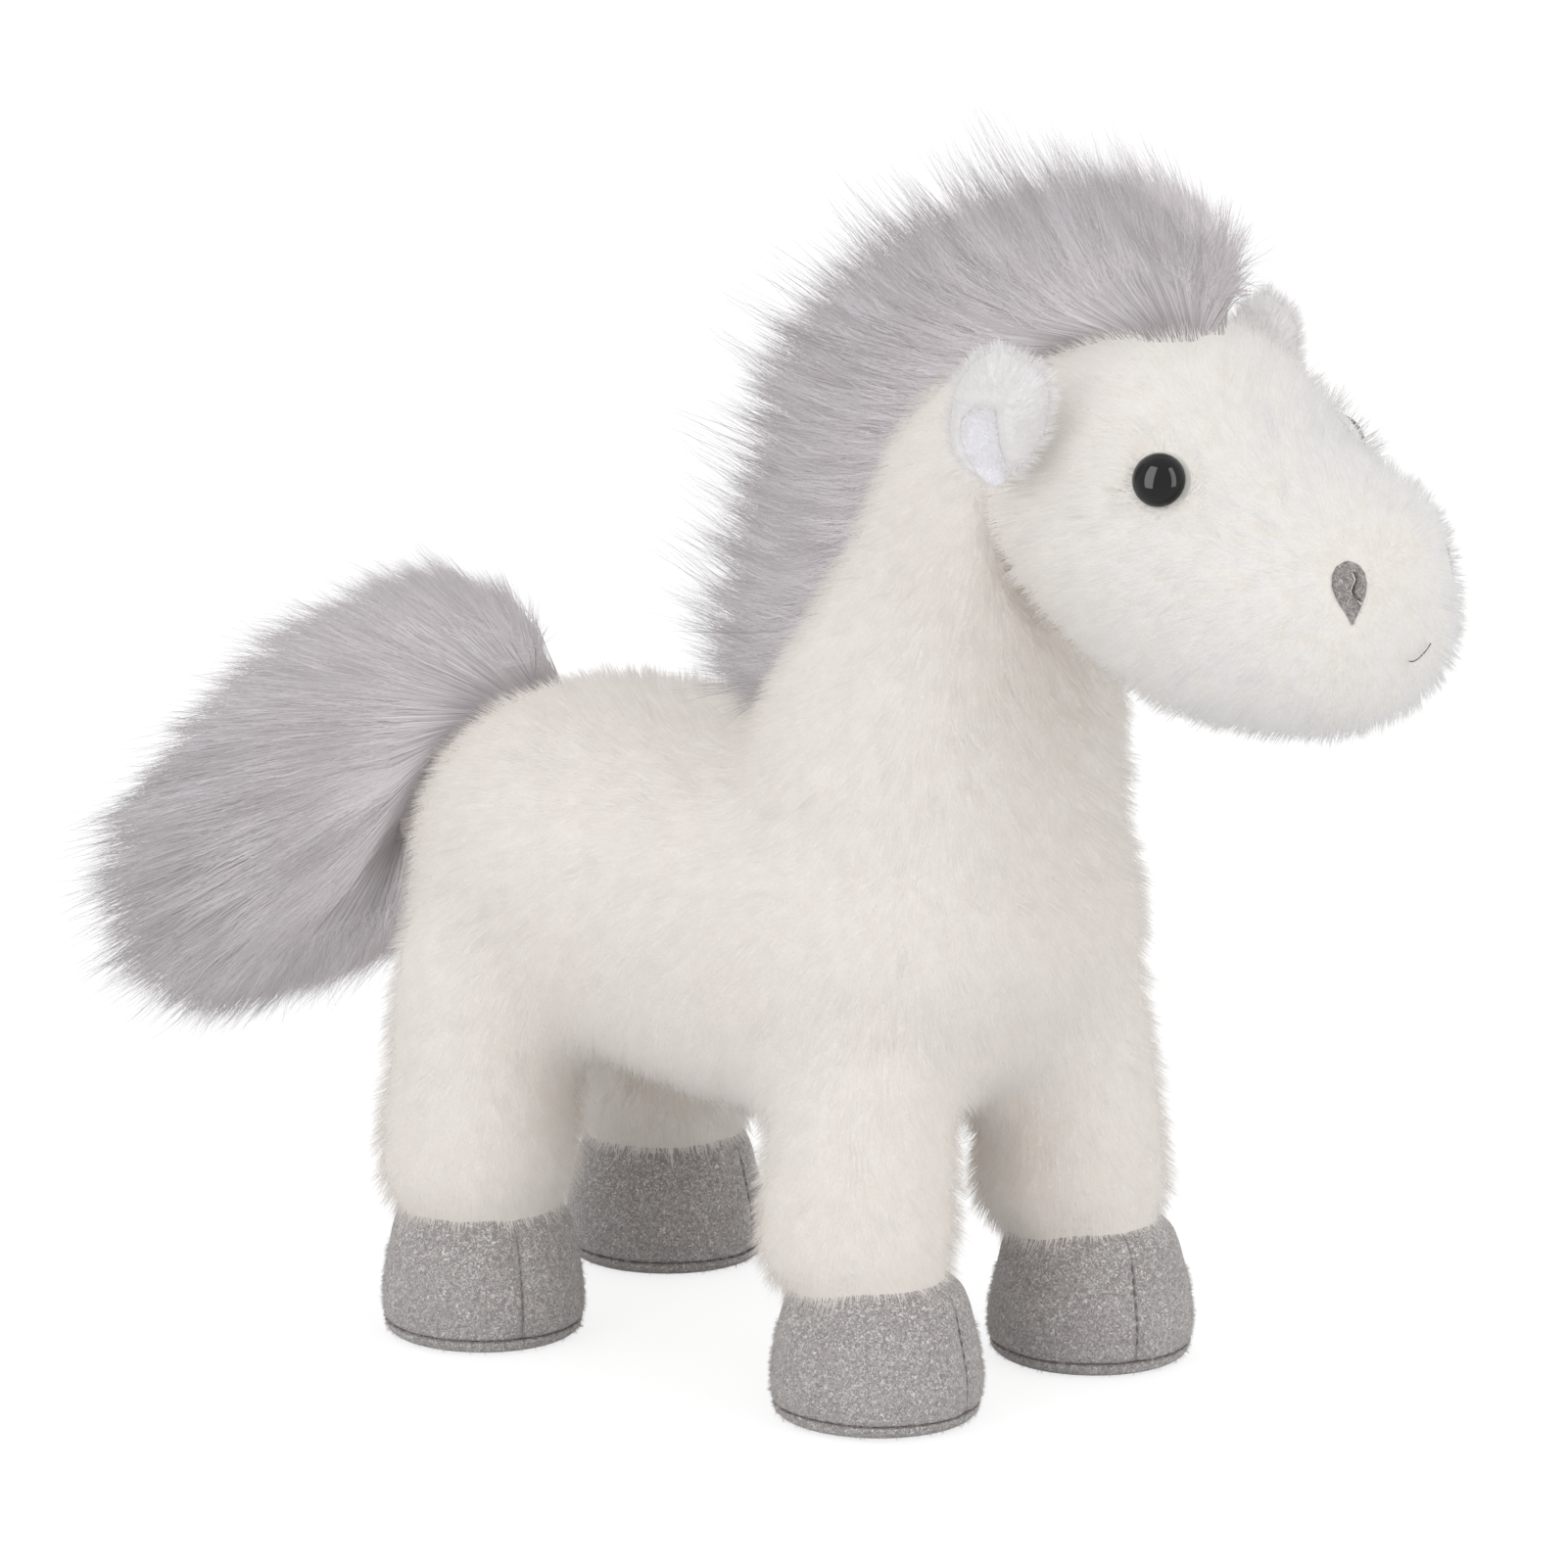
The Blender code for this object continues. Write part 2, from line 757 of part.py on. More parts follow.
def make_ear(side, head, material, lining_material):
    """A leaf that stands on its hinge bead, with the hollow and its lining facing outwards."""
    name = "right" if side < 0 else "left"
    x = head_rear_x + ear_from_rear
    z = head_bottom_z + ear_base_up
    reach = 0
    for end in (-ear_bead_length / 2, 0, ear_bead_length / 2):
        place, _ = surface_point(head, x + end, z, side)
        reach = max(reach, abs(place.y))
    hinge = Vector((x, side * (reach + ear_bead_radius + seam_gap), z))
    inwards = Vector((0, -side, 0))

    leaf = ear_sheet(side, False)
    thicken(leaf, -ear_shell_thickness / 2, ear_shell_thickness, inwards)
    shell = finish(f"ear_{name}", leaf, material)
    bead = bmesh.new()
    bmesh.ops.create_cone(
        bead,
        cap_ends=True,
        segments=small_round_points,
        radius1=ear_bead_radius,
        radius2=ear_bead_radius,
        depth=ear_bead_length,
        matrix=Matrix.Rotation(math.pi / 2, 4, "Y"),
    )
    hinge_bead = finish(f"hinge bead {name}", bead)
    sheet = ear_sheet(side, True)
    thicken(sheet, ear_shell_thickness / 2 + seam_gap, ear_lining_thickness, -inwards)
    lining = finish(f"ear_lining_{name}", sheet, lining_material)
    space = grown(shell, f"ear space {name}", seam_gap)
    bead_space = grown(hinge_bead, f"bead space {name}", seam_gap)
    for piece in (shell, hinge_bead, lining, space, bead_space):
        piece.location = hinge
    combine(shell, hinge_bead, "UNION")
    combine(lining, bead_space, "DIFFERENCE")
    return shell, lining


def set_origin(piece, point):
    """Moves a piece's origin to a point on its joint's axis, and leaves its shape in place."""
    shift = Vector(point) - piece.matrix_world.translation
    piece.data.transform(Matrix.Translation(-shift))
    piece.matrix_world.translation = point


def hoof_places():
    """Where each hoof stands and how far its toe turns, by name."""
    return {
        "front_right": (front_hoof_x - front_stagger, -front_hoof_y, toe_turns["front_right"]),
        "front_left": (front_hoof_x + front_stagger, front_hoof_y, toe_turns["front_left"]),
        "hind_right": (hind_hoof_x + hind_stagger, -hind_hoof_y, toe_turns["hind_right"]),
        "hind_left": (hind_hoof_x - hind_stagger, hind_hoof_y, toe_turns["hind_left"]),
    }


def centre_on_box(front_piece, rear_piece):
    """Parents everything to one empty, moved so that the box's middle is at x = 0."""
    front = max((front_piece.matrix_world @ vert.co).x for vert in front_piece.data.vertices)
    rear = min((rear_piece.matrix_world @ vert.co).x for vert in rear_piece.data.vertices)
    stand = bpy.data.objects.new("stand", None)
    for piece in bpy.data.objects:
        if piece != stand:
            piece.parent = stand
    bpy.context.scene.collection.objects.link(stand)
    stand.location.x = -(front + rear) / 2


def build():
    clear_scene()
    plush = make_material("white plush", (0.76, 0.74, 0.71), 0.95)
    lining = make_material("white velboa", (0.80, 0.80, 0.81), 0.85)
    suede = make_material("grey suede", (0.36, 0.34, 0.34), 0.9)
    fur = make_material("long grey pile", (0.56, 0.53, 0.55), 0.85)
    gloss = make_material("black gloss plastic", (0.01, 0.01, 0.012), 0.08)
    washer = make_material("white plastic washer", (0.8, 0.8, 0.8), 0.4)
    felt = make_material("grey felt", (0.28, 0.28, 0.29), 0.95)
    thread = make_material("grey thread", (0.20, 0.20, 0.20), 0.7)

    torso = make_torso(plush)
    neck = make_neck(plush)
    head = make_head(plush)
    torso_space = grown(torso, "torso space", seam_gap)
    neck_space = grown(neck, "neck space", seam_gap)
    head_space = grown(head, "head space", seam_gap)
    patch_space = grown(head, "patch space", seam_gap + patch_thickness)
    thread_space = grown(head, "thread space", seam_gap + thread_thickness)
    combine(neck, torso_space, "DIFFERENCE")
    combine(neck, head_space, "DIFFERENCE")

    make_mouth(head, head_space, thread_space, thread)
    for side in (-1, 1):
        make_nostril(side, head, head_space, patch_space, felt)
        make_ear(side, head, plush, lining)
    for side in (-1, 1):
        make_eye(side, head, gloss, washer)

    mane = make_mane(fur)
    for space in (torso_space, neck_space, head_space):
        combine(mane, space, "DIFFERENCE")
    tail = make_tail(torso, fur)
    combine(tail, torso_space, "DIFFERENCE")

    for side, place in hoof_places().items():
        make_leg(side, place, torso_space, plush)
        make_hoof(side, place, suede)
    centre_on_box(head, tail)


build()
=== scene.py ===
# Plush horse: short white plush, long lilac-grey mane and tail, suede hooves, glossy eyes
import math
import bmesh
import bpy
import numpy as np
from mathutils import Matrix, Vector, noise
from mathutils.bvhtree import BVHTree
from mathutils.kdtree import KDTree


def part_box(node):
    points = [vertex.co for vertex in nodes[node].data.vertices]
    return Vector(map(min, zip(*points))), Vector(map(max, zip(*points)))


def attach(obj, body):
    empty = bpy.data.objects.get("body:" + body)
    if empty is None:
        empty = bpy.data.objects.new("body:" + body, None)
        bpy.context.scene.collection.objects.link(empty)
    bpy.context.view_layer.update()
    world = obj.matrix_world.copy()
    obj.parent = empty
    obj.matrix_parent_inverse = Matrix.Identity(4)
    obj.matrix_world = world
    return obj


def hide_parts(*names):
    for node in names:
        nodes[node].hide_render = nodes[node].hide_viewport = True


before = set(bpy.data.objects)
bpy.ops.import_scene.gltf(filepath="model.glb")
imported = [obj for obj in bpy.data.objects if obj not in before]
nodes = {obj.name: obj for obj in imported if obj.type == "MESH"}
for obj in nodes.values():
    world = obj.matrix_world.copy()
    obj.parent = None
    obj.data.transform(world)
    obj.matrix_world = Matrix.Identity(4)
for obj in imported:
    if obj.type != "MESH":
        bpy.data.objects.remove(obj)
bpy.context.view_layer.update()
scene = bpy.context.scene
mm = 0.001
sideNames = {"left": 1, "right": -1}
hoofPlaces = ("front_left", "front_right", "hind_left", "hind_right")


# Small helpers

def hexColour(code):
    channels = [int(code[i:i + 2], 16) / 255 for i in (1, 3, 5)]
    linear = [c / 12.92 if c <= 0.04045 else ((c + 0.055) / 1.055) ** 2.4 for c in channels]
    return (*linear, 1.0)


def addNode(tree, kind, settings=None, inputs=None):
    node = tree.nodes.new(kind)
    for name, value in (settings or {}).items():
        setattr(node, name, value)
    for name, value in (inputs or {}).items():
        if isinstance(value, bpy.types.NodeSocket):
            tree.links.new(value, node.inputs[name])
        else:
            node.inputs[name].default_value = value
    return node


def newMaterial(name, **sockets):
    material = bpy.data.materials.new(name)
    material.use_nodes = True
    tree = material.node_tree
    shader = tree.nodes["Principled BSDF"]
    for socket, value in sockets.items():
        shader.inputs[socket.replace("_", " ")].default_value = value
    return material, tree, shader


def linkObject(name, mesh, material):
    piece = bpy.data.objects.new(name, mesh)
    scene.collection.objects.link(piece)
    mesh.materials.clear()
    mesh.materials.append(material)
    return piece


def letLightThrough(piece):
    # fine acrylic hairs scatter light onward: they cast no shadow and hold none back
    piece.visible_shadow = False
    piece.visible_diffuse = False
    return piece


def meshPoints(mesh):
    points = np.empty(len(mesh.vertices) * 3, np.float32)
    mesh.vertices.foreach_get("co", points)
    return points.reshape(-1, 3).astype(float)


def meanPoint(node):
    return sum((vert.co for vert in nodes[node].data.vertices), Vector()) / len(nodes[node].data.vertices)


def smoothStep(value):
    value = min(max(value, 0.0), 1.0)
    return value * value * (3 - 2 * value)


def fade(value, start, span):
    # 0 before the start to 1 beyond the span, which is negative where it grows the other way
    return smoothStep((value - start) / span)


def unit(vectors):
    return vectors / np.maximum(np.linalg.norm(vectors, axis=-1, keepdims=True), 1e-12)


def openMesh(mesh):
    bm = bmesh.new()
    bm.from_mesh(mesh)
    return bm


def closeMesh(bm, mesh):
    bm.to_mesh(mesh)
    bm.free()
    mesh.shade_smooth()


def meshTree(mesh):
    bm = openMesh(mesh)
    tree = BVHTree.FromBMesh(bm)
    bm.free()
    return tree


def smoothOut(bm, verts, rounds, factor=0.5):
    for _ in range(rounds):
        bmesh.ops.smooth_vert(bm, verts=verts, factor=factor,
                              use_axis_x=True, use_axis_y=True, use_axis_z=True)


def placePiece(piece, body, replaced=()):
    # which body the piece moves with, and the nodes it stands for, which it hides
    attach(piece, body)
    if replaced:
        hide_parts(*replaced)
    return piece


# Materials. Two kinds of node take the same settings throughout: a colour mix has its share at input 0,
# its colours at 6 and 7 and its result at output 2

colourMix = "ShaderNodeMix", {"data_type": "RGBA"}
softRange = "ShaderNodeMapRange", {"interpolation_type": "SMOOTHSTEP"}


def mottled(tree, coordinate, size, low=0.35, high=0.65):
    # 0 to 1 clouds of about that size in metres
    clouds = addNode(tree, "ShaderNodeTexNoise", {}, {
        "Vector": coordinate, "Scale": 1 / size, "Detail": 3.0, "Roughness": 0.55})
    return addNode(tree, *softRange, {
        "Value": clouds.outputs["Fac"], "From Min": low, "From Max": high}).outputs["Result"]


def makePileMaterial(name, tones):
    # acrylic pile: each hair is darker at its root, painted shade for the depth of the pile, and its tone
    # differs from its neighbours'
    material, tree, shader = newMaterial(
        name, Roughness=tones["roughness"], IOR=1.5, Specular_IOR_Level=tones["specular"],
        Sheen_Weight=tones["sheen"], Sheen_Roughness=0.5)
    along, lot, hollow = (addNode(tree, "ShaderNodeAttribute", {"attribute_name": key}).outputs["Fac"]
                          for key in ("along", "lot", "hollow"))
    place = addNode(tree, "ShaderNodeTexCoord").outputs["Object"]
    colours = {key: hexColour(value) for key, value in tones.items() if str(value).startswith("#")}
    tips = addNode(tree, *colourMix, {0: lot, 6: colours["tipDark"], 7: colours["tipLight"]}).outputs[2]
    cloudy = addNode(tree, *colourMix, {0: tones["cloudShare"], 6: tips, 7: colours["cloud"]}).outputs[2]
    clouds = mottled(tree, place, tones["cloudSize"])
    tips = addNode(tree, *colourMix, {0: clouds, 6: tips, 7: cloudy}).outputs[2]
    # painted shade: each hair darkens towards its root, deep in the pile
    rise = addNode(tree, *softRange, {
        "Value": along, "From Min": tones["rootEnd"][0], "From Max": tones["rootEnd"][1]}).outputs["Result"]
    hair = addNode(tree, *colourMix, {0: rise, 6: colours["root"], 7: tips}).outputs[2]
    if "cool" in tones:
        forward = addNode(tree, "ShaderNodeSeparateXYZ", {}, {0: place}).outputs["X"]
        low, high = tones["coolFrom"]
        fromFront = {"Value": forward, "From Min": low, "From Max": high}
        muzzle = addNode(tree, *softRange, fromFront).outputs["Result"]
        hair = addNode(tree, *colourMix, {0: muzzle, 6: hair, 7: colours["cool"]}).outputs[2]
    # painted shade: warm beige where the pile closes in on itself
    hair = addNode(tree, *colourMix, {0: hollow, 6: hair, 7: colours["hollow"]}).outputs[2]
    tree.links.new(hair, shader.inputs["Base Color"])
    return material


whiteTones = {
    "roughness": 0.75, "specular": 0.25, "sheen": 0.15,
    "root": "#DDD7D0", "tipDark": "#E2DCD7", "tipLight": "#E7E2DD",
    "cloud": "#E5DCD4", "cloudShare": 0.5, "cloudSize": 0.045,
    "rootEnd": (0.0, 0.55),  # the stretch over which the root's painted shade gives way, as shares of the hair
    "hollow": "#D2C4B2",  # painted shade: the warm beige deep in the folds between two forms
    "cool": "#E3E2E1", "coolFrom": (0.10, 0.17),  # the muzzle, and the x over which it sets in
}
lilacTones = {
    "roughness": 0.55, "specular": 0.35, "sheen": 0.1,
    "root": "#8E8688", "tipDark": "#8A8385", "tipLight": "#D6D0D4",
    "cloud": "#B3ACAF", "cloudShare": 0.3, "cloudSize": 0.02, "rootEnd": (0.0, 0.40),
    "hollow": "#8F8385",
}
whitePile = makePileMaterial("white acrylic plush pile", whiteTones)
earPile = makePileMaterial("cool white short acrylic pile", dict(
    whiteTones, root="#D5D2D2", tipDark="#DAD8D8", tipLight="#E0DEDE", cloud="#DCD9D9", cool="#DEDCDC"))
lilacPile = makePileMaterial("lilac-grey long acrylic pile", lilacTones)


def makeBackingMaterial(name, light, dark, bump):
    # knitted backing seen between the hairs: soft clouds of tone and a felted bump, coarse enough to show
    material, tree, shader = newMaterial(name, Roughness=0.95, Specular_IOR_Level=0.1)
    place = addNode(tree, "ShaderNodeTexCoord").outputs["Object"]
    clouds = mottled(tree, place, 4 * mm, 0.3, 0.7)
    tone = addNode(tree, *colourMix, {0: clouds, 6: hexColour(dark), 7: hexColour(light)}).outputs[2]
    tree.links.new(tone, shader.inputs["Base Color"])
    grain = addNode(tree, "ShaderNodeTexNoise", {}, {"Vector": place, "Scale": 1 / (1.2 * mm)})
    raised = addNode(tree, "ShaderNodeBump", {}, {
        "Height": grain.outputs["Fac"], "Distance": bump, "Strength": 0.6})
    tree.links.new(raised.outputs["Normal"], shader.inputs["Normal"])
    return material


def makeSuedeMaterial(name, tones):
    # brushed microfibre: a short matt nap in tiny curls, with painted shade where its seams and folds pinch
    # it. The curls are drawn coarser than real ones, so that they show
    material, tree, shader = newMaterial(name, Roughness=0.92, Specular_IOR_Level=0.15,
                                         Sheen_Weight=0.2, Sheen_Roughness=0.5)
    place = addNode(tree, "ShaderNodeTexCoord").outputs["Object"]
    colours = {key: hexColour(value) for key, value in tones.items() if str(value).startswith("#")}
    curls = addNode(tree, "ShaderNodeTexNoise", {}, {
        "Vector": place, "Scale": 1 / tones["curl"], "Detail": 2.0, "Distortion": 1.5}).outputs["Fac"]
    nap = addNode(tree, *colourMix, {
        0: mottled(tree, place, tones["patch"]), 6: colours["middle"], 7: colours["worn"]}).outputs[2]
    sharp = addNode(tree, *softRange, {"Value": curls, "From Min": 0.36, "From Max": 0.66}).outputs["Result"]
    nap = addNode(tree, *colourMix, {0: sharp, 6: colours["dark"], 7: nap}).outputs[2]
    bright = addNode(tree, *softRange, {"Value": curls, "From Min": 0.55, "From Max": 0.72}).outputs["Result"]
    nap = addNode(tree, *colourMix, {0: bright, 6: nap, 7: colours["light"]}).outputs[2]
    # painted shade, darkest in the creases of seams and folds
    seam = addNode(tree, "ShaderNodeAttribute", {"attribute_name": "seam"}).outputs["Fac"]
    nap = addNode(tree, *colourMix, {0: seam, 6: nap, 7: colours["seam"]}).outputs[2]
    tree.links.new(nap, shader.inputs["Base Color"])
    raised = addNode(tree, "ShaderNodeBump", {}, {"Height": curls, "Distance": 0.6 * mm, "Strength": 0.7})
    tree.links.new(raised.outputs["Normal"], shader.inputs["Normal"])
    return material


hoofSuede = makeSuedeMaterial("grey microfibre suede", {
    "curl": 0.0007, "patch": 0.012, "dark": "#8A8583", "middle": "#BAB6B5", "worn": "#B0ABAA",
    "light": "#DBD8D7", "seam": "#857F7D"})
# its near black is painted shade for the crease of the nostril's fold
nostrilVelboa = makeSuedeMaterial("grey short-pile velboa", {
    "curl": 0.0008, "patch": 0.004, "dark": "#77716F", "middle": "#9C9794", "worn": "#8F8A88",
    "light": "#BDB8B5", "seam": "#1E1B1C"})
earVelboa = makeSuedeMaterial("cool white short-pile velboa", {
    "curl": 0.0009, "patch": 0.006, "dark": "#DCDADE", "middle": "#E6E5E9", "worn": "#E2E1E6",
    "light": "#EDEDF0", "seam": "#D2C9C5"})
napTones = {
    "roughness": 0.8, "specular": 0.2, "sheen": 0.1,
    "root": "#8C8785", "tipDark": "#A29D9B", "tipLight": "#CFCBCA",
    "cloud": "#B4AFAE", "cloudShare": 0.3, "cloudSize": 0.008, "rootEnd": (0.0, 0.5),
    "hollow": "#7E7775",
}
suedeNap = makePileMaterial("grey suede nap", napTones)
# polished acrylic, black right through
eyePlastic = newMaterial("black polished acrylic", Base_Color=hexColour("#0B0B0C"), Roughness=0.05,
                         IOR=1.49, Specular_IOR_Level=0.32)[0]
threadMaterial = newMaterial("dark grey polyester thread", Base_Color=hexColour("#6B6664"), Roughness=0.6,
                             Specular_IOR_Level=0.3, Sheen_Weight=0.2)[0]
mouthThread = newMaterial("charcoal polyester thread", Base_Color=hexColour("#3C3938"), Roughness=0.65,
                          Specular_IOR_Level=0.3, Sheen_Weight=0.2)[0]
washerPlastic = newMaterial("natural polyethylene washer", Base_Color=hexColour("#D8D6D0"), Roughness=0.45,
                            IOR=1.52)[0]
whiteBacking = makeBackingMaterial("white knitted plush backing", "#E1DCD7", "#DAD4CD", 0.0006)
earBacking = makeBackingMaterial("cool white knitted plush backing", "#DEDCDC", "#D4D1D1", 0.0006)
lilacBacking = makeBackingMaterial("grey knitted pile backing", "#B0AAAC", "#9A9496", 0.0010)
print("materials ready")


# Skins: the sewn forms under the pile

skin = {
    "voxel": 0.0022,  # remesh grain
    "swell": 0.0006,  # closes the seams between the solids before they merge
    "weld": 0.00002,
    "smoothFrom": 0.058, "smoothRounds": 34, "lastRounds": 6,  # above the sleeves, and all over
    "hemZ": 0.0232,
    "depth": 0.0029,  # how far the cloth lies under the ends of the pile
    "sleeveDepth": 0.0014, "sleeveTop": (0.055, 0.085),  # the same on the lower legs, and where it changes
    # how much deeper it lies in these places, and how much fuller it is at the brow and the muzzle's front
    "chest": 0.0024, "crown": 0.0010, "bridge": 0.0052, "jaw": 0.0040, "shin": 0.0016,
    "brow": 0.0006, "nose": 0.0010,
    "throat": ((0.105, 0.150, 0.180, 0.210), (0.45, 1.5, 1.3, 0)),  # heights, and shares of the chest's depth
    # how widely stuffing rounds the join of head and neck, from below up, and how far it reaches inside
    "fillHeights": (0.150, 0.185, 0.215, 0.238), "fill": (0.012, 0.036, 0.032, 0.020), "fillInside": 0.012,
    "fillRounds": 12,
}
zones = {
    # where each place begins, and over what span it comes in, for each value that skinDepth names
    "brow": ((0.007, 0.006),),
    "jaw": ((0.165, -0.05), (0, -0.6)),
    "bridge": ((0.130, 0.03), (0.1, 0.5)),
    "nose": ((0.160, 0.025), (-0.1, 0.7)),
    "crown": ((-0.3, 0.6),),
    "chest": ((0.045, 0.03), (0.06, 0.03)),
    "shin": ((0.02, 0.02), (0, 0.6), (0.110, -0.03)),
}


def copySolids(name, solids, swell):
    # the CAD solids merged into one mesh of closed shells
    bm = bmesh.new()
    for solid in solids:
        bm.from_mesh(nodes[solid].data)
    bmesh.ops.remove_doubles(bm, verts=bm.verts, dist=skin["weld"])
    bm.normal_update()
    for vert in bm.verts:
        vert.co += vert.normal * swell
    mesh = bpy.data.meshes.new(name)
    bm.to_mesh(mesh)
    bm.free()
    return mesh


def remesh(piece, voxel):
    modifier = piece.modifiers.new("remesh", "REMESH")
    modifier.mode = "VOXEL"
    modifier.voxel_size = voxel
    modifier.adaptivity = 0
    graph = bpy.context.evaluated_depsgraph_get()
    mesh = bpy.data.meshes.new_from_object(piece.evaluated_get(graph), depsgraph=graph)
    piece.modifiers.clear()
    piece.data = mesh


def keepLargest(bm):
    # drops the small shells that a remesh leaves inside
    left = set(bm.verts)
    shells = []
    while left:
        stack = [left.pop()]
        shell = set(stack)
        while stack:
            for edge in stack.pop().link_edges:
                for vert in left.intersection(edge.verts):
                    left.discard(vert)
                    shell.add(vert)
                    stack.append(vert)
        shells.append(shell)
    shells.sort(key=len)
    inner = [vert for shell in shells[:-1] for vert in shell]
    bmesh.ops.delete(bm, geom=inner, context="VERTS")


eyeSpots = [meanPoint(f"eye_{side}") for side in sideNames]


def zone(name, *values):
    # 1 where all the values are past the zone's limits, and 0 where one is before
    return math.prod(fade(value, *limits) for value, limits in zip(values, zones[name]))


def skinDepth(point, normal, onHead):
    if onHead:
        brow = 1 - zone("brow", min((point - spot).length for spot in eyeSpots))
        jaw, bridge = zone("jaw", point.x, normal.z), zone("bridge", point.x, normal.z)
        nose, crown = zone("nose", point.x, normal.x), zone("crown", normal.z)
        deeper = skin["crown"] * crown + skin["jaw"] * jaw + skin["bridge"] * bridge * (1 - nose)
        return skin["depth"] + deeper * (1 - 0.4 * brow) - skin["brow"] * brow - skin["nose"] * nose
    depth = float(np.interp(point.z, skin["sleeveTop"], (skin["sleeveDepth"], skin["depth"])))
    chest = zone("chest", point.x, point.z) * float(np.interp(point.z, *skin["throat"]))
    return depth + skin["chest"] * chest + skin["shin"] * zone("shin", point.x, normal.x, point.z)


def makeSkin(name, solids, smoothFrom):
    piece = linkObject(name, copySolids(name, solids, skin["swell"]), whiteBacking)
    remesh(piece, skin["voxel"])
    bm = openMesh(piece.data)
    keepLargest(bm)
    smoothOut(bm, [vert for vert in bm.verts if vert.co.z > smoothFrom], skin["smoothRounds"])
    smoothOut(bm, bm.verts, skin["lastRounds"])
    bm.normal_update()
    for vert in bm.verts:
        vert.co -= vert.normal * (skinDepth(vert.co, vert.normal, "head" in solids) + skin["swell"])
    closeMesh(bm, piece.data)
    return placePiece(piece, "body", solids)


bodySolids = ["torso", "neck", *(f"leg_{place}" for place in hoofPlaces)]
bodySkin = makeSkin("plush_body", bodySolids, skin["smoothFrom"])
headSkin = makeSkin("plush_head", ["head"], 0.0)
print("skins ready", len(bodySkin.data.vertices), len(headSkin.data.vertices))


def cutHems(piece):
    # the sleeves end just below the hooves' tops
    bm = openMesh(piece.data)
    cut = bmesh.ops.bisect_plane(
        bm, geom=bm.verts[:] + bm.edges[:] + bm.faces[:], dist=0.00001,
        plane_co=(0, 0, skin["hemZ"]), plane_no=(0, 0, 1), clear_inner=True)
    rim = [item for item in cut["geom_cut"] if isinstance(item, bmesh.types.BMEdge)]
    bmesh.ops.holes_fill(bm, edges=rim, sides=0)
    closeMesh(bm, piece.data)


cutHems(bodySkin)


def fillJoin(piece, other):
    # stuffing presses the two forms together, so each rises where it meets the other
    bm = openMesh(piece.data)
    bm.normal_update()
    moved = []
    for vert in bm.verts:
        reach = float(np.interp(vert.co.z, skin["fillHeights"], skin["fill"]))
        near, normal, _, distance = other.find_nearest(vert.co, reach)
        if near is None:
            continue
        inside = (vert.co - near).dot(normal) < 0
        share = 1 - smoothStep(distance / skin["fillInside"]) if inside else (1 - distance / reach) ** 2
        vert.co += vert.normal * (share * reach / 4)
        moved.append(vert)
    smoothOut(bm, moved, skin["fillRounds"])
    closeMesh(bm, piece.data)


bodyTree, headTree = meshTree(bodySkin.data), meshTree(headSkin.data)
fillJoin(bodySkin, headTree)
fillJoin(headSkin, bodyTree)
bodyTree, headTree = meshTree(bodySkin.data), meshTree(headSkin.data)


# Sewn pieces

def faceOutward(bm):
    bmesh.ops.recalc_face_normals(bm, faces=bm.faces)
    if bm.calc_volume(signed=True) < 0:
        bmesh.ops.reverse_faces(bm, faces=bm.faces)
    bm.normal_update()


def finishPiece(name, bm, material, seam=None):
    # a smooth closed object, with painted shade in its seams where it is given
    faceOutward(bm)
    mesh = bpy.data.meshes.new(name)
    closeMesh(bm, mesh)
    if seam is not None:
        points = [seam(vert.co) for vert in mesh.vertices]
        mesh.attributes.new("seam", "FLOAT", "POINT").data.foreach_set("value", points)
    return linkObject(name, mesh, material)


def softCurve(points, rounds=2):
    # cuts the corners of a row of points and keeps its ends
    row = [Vector(point) for point in points]
    for _ in range(rounds):
        inner = [point for a, b in zip(row, row[1:]) for point in (a.lerp(b, 0.25), a.lerp(b, 0.75))]
        row = [row[0]] + inner[1:-1] + [row[-1]]
    return row


def roundedProfile(rows):
    return [(point.x, point.z) for point in softCurve([(radius, 0, height) for radius, height in rows])]


def orderFaces(bm):
    # spinning leaves the faces in an order that changes from run to run, and the nap is scattered over them
    bm.verts.index_update()
    rows = []
    for face in bm.faces:
        row = [vert.index for vert in face.verts]
        first = row.index(min(row))
        rows.append(row[first:] + row[:first])
    bmesh.ops.delete(bm, geom=bm.faces[:], context="FACES_ONLY")
    points = bm.verts[:]
    for row in sorted(rows):
        bm.faces.new([points[index] for index in row])


def spinProfile(profile, angle, steps):
    # turns a row of (radius, height) points about the upright axis and closes the cut
    bm = bmesh.new()
    row = [bm.verts.new((radius, 0, height)) for radius, height in profile]
    edges = [bm.edges.new(pair) for pair in zip(row, row[1:])]
    bmesh.ops.spin(bm, geom=row + edges, cent=(0, 0, 0), axis=(0, 0, 1), angle=angle, steps=steps,
                   use_merge=angle > 6.28)
    bmesh.ops.remove_doubles(bm, verts=bm.verts, dist=0.000002)
    rim = [edge for edge in bm.edges if edge.is_boundary]
    if rim:
        bmesh.ops.holes_fill(bm, edges=rim, sides=0)
    faceOutward(bm)
    orderFaces(bm)
    return bm


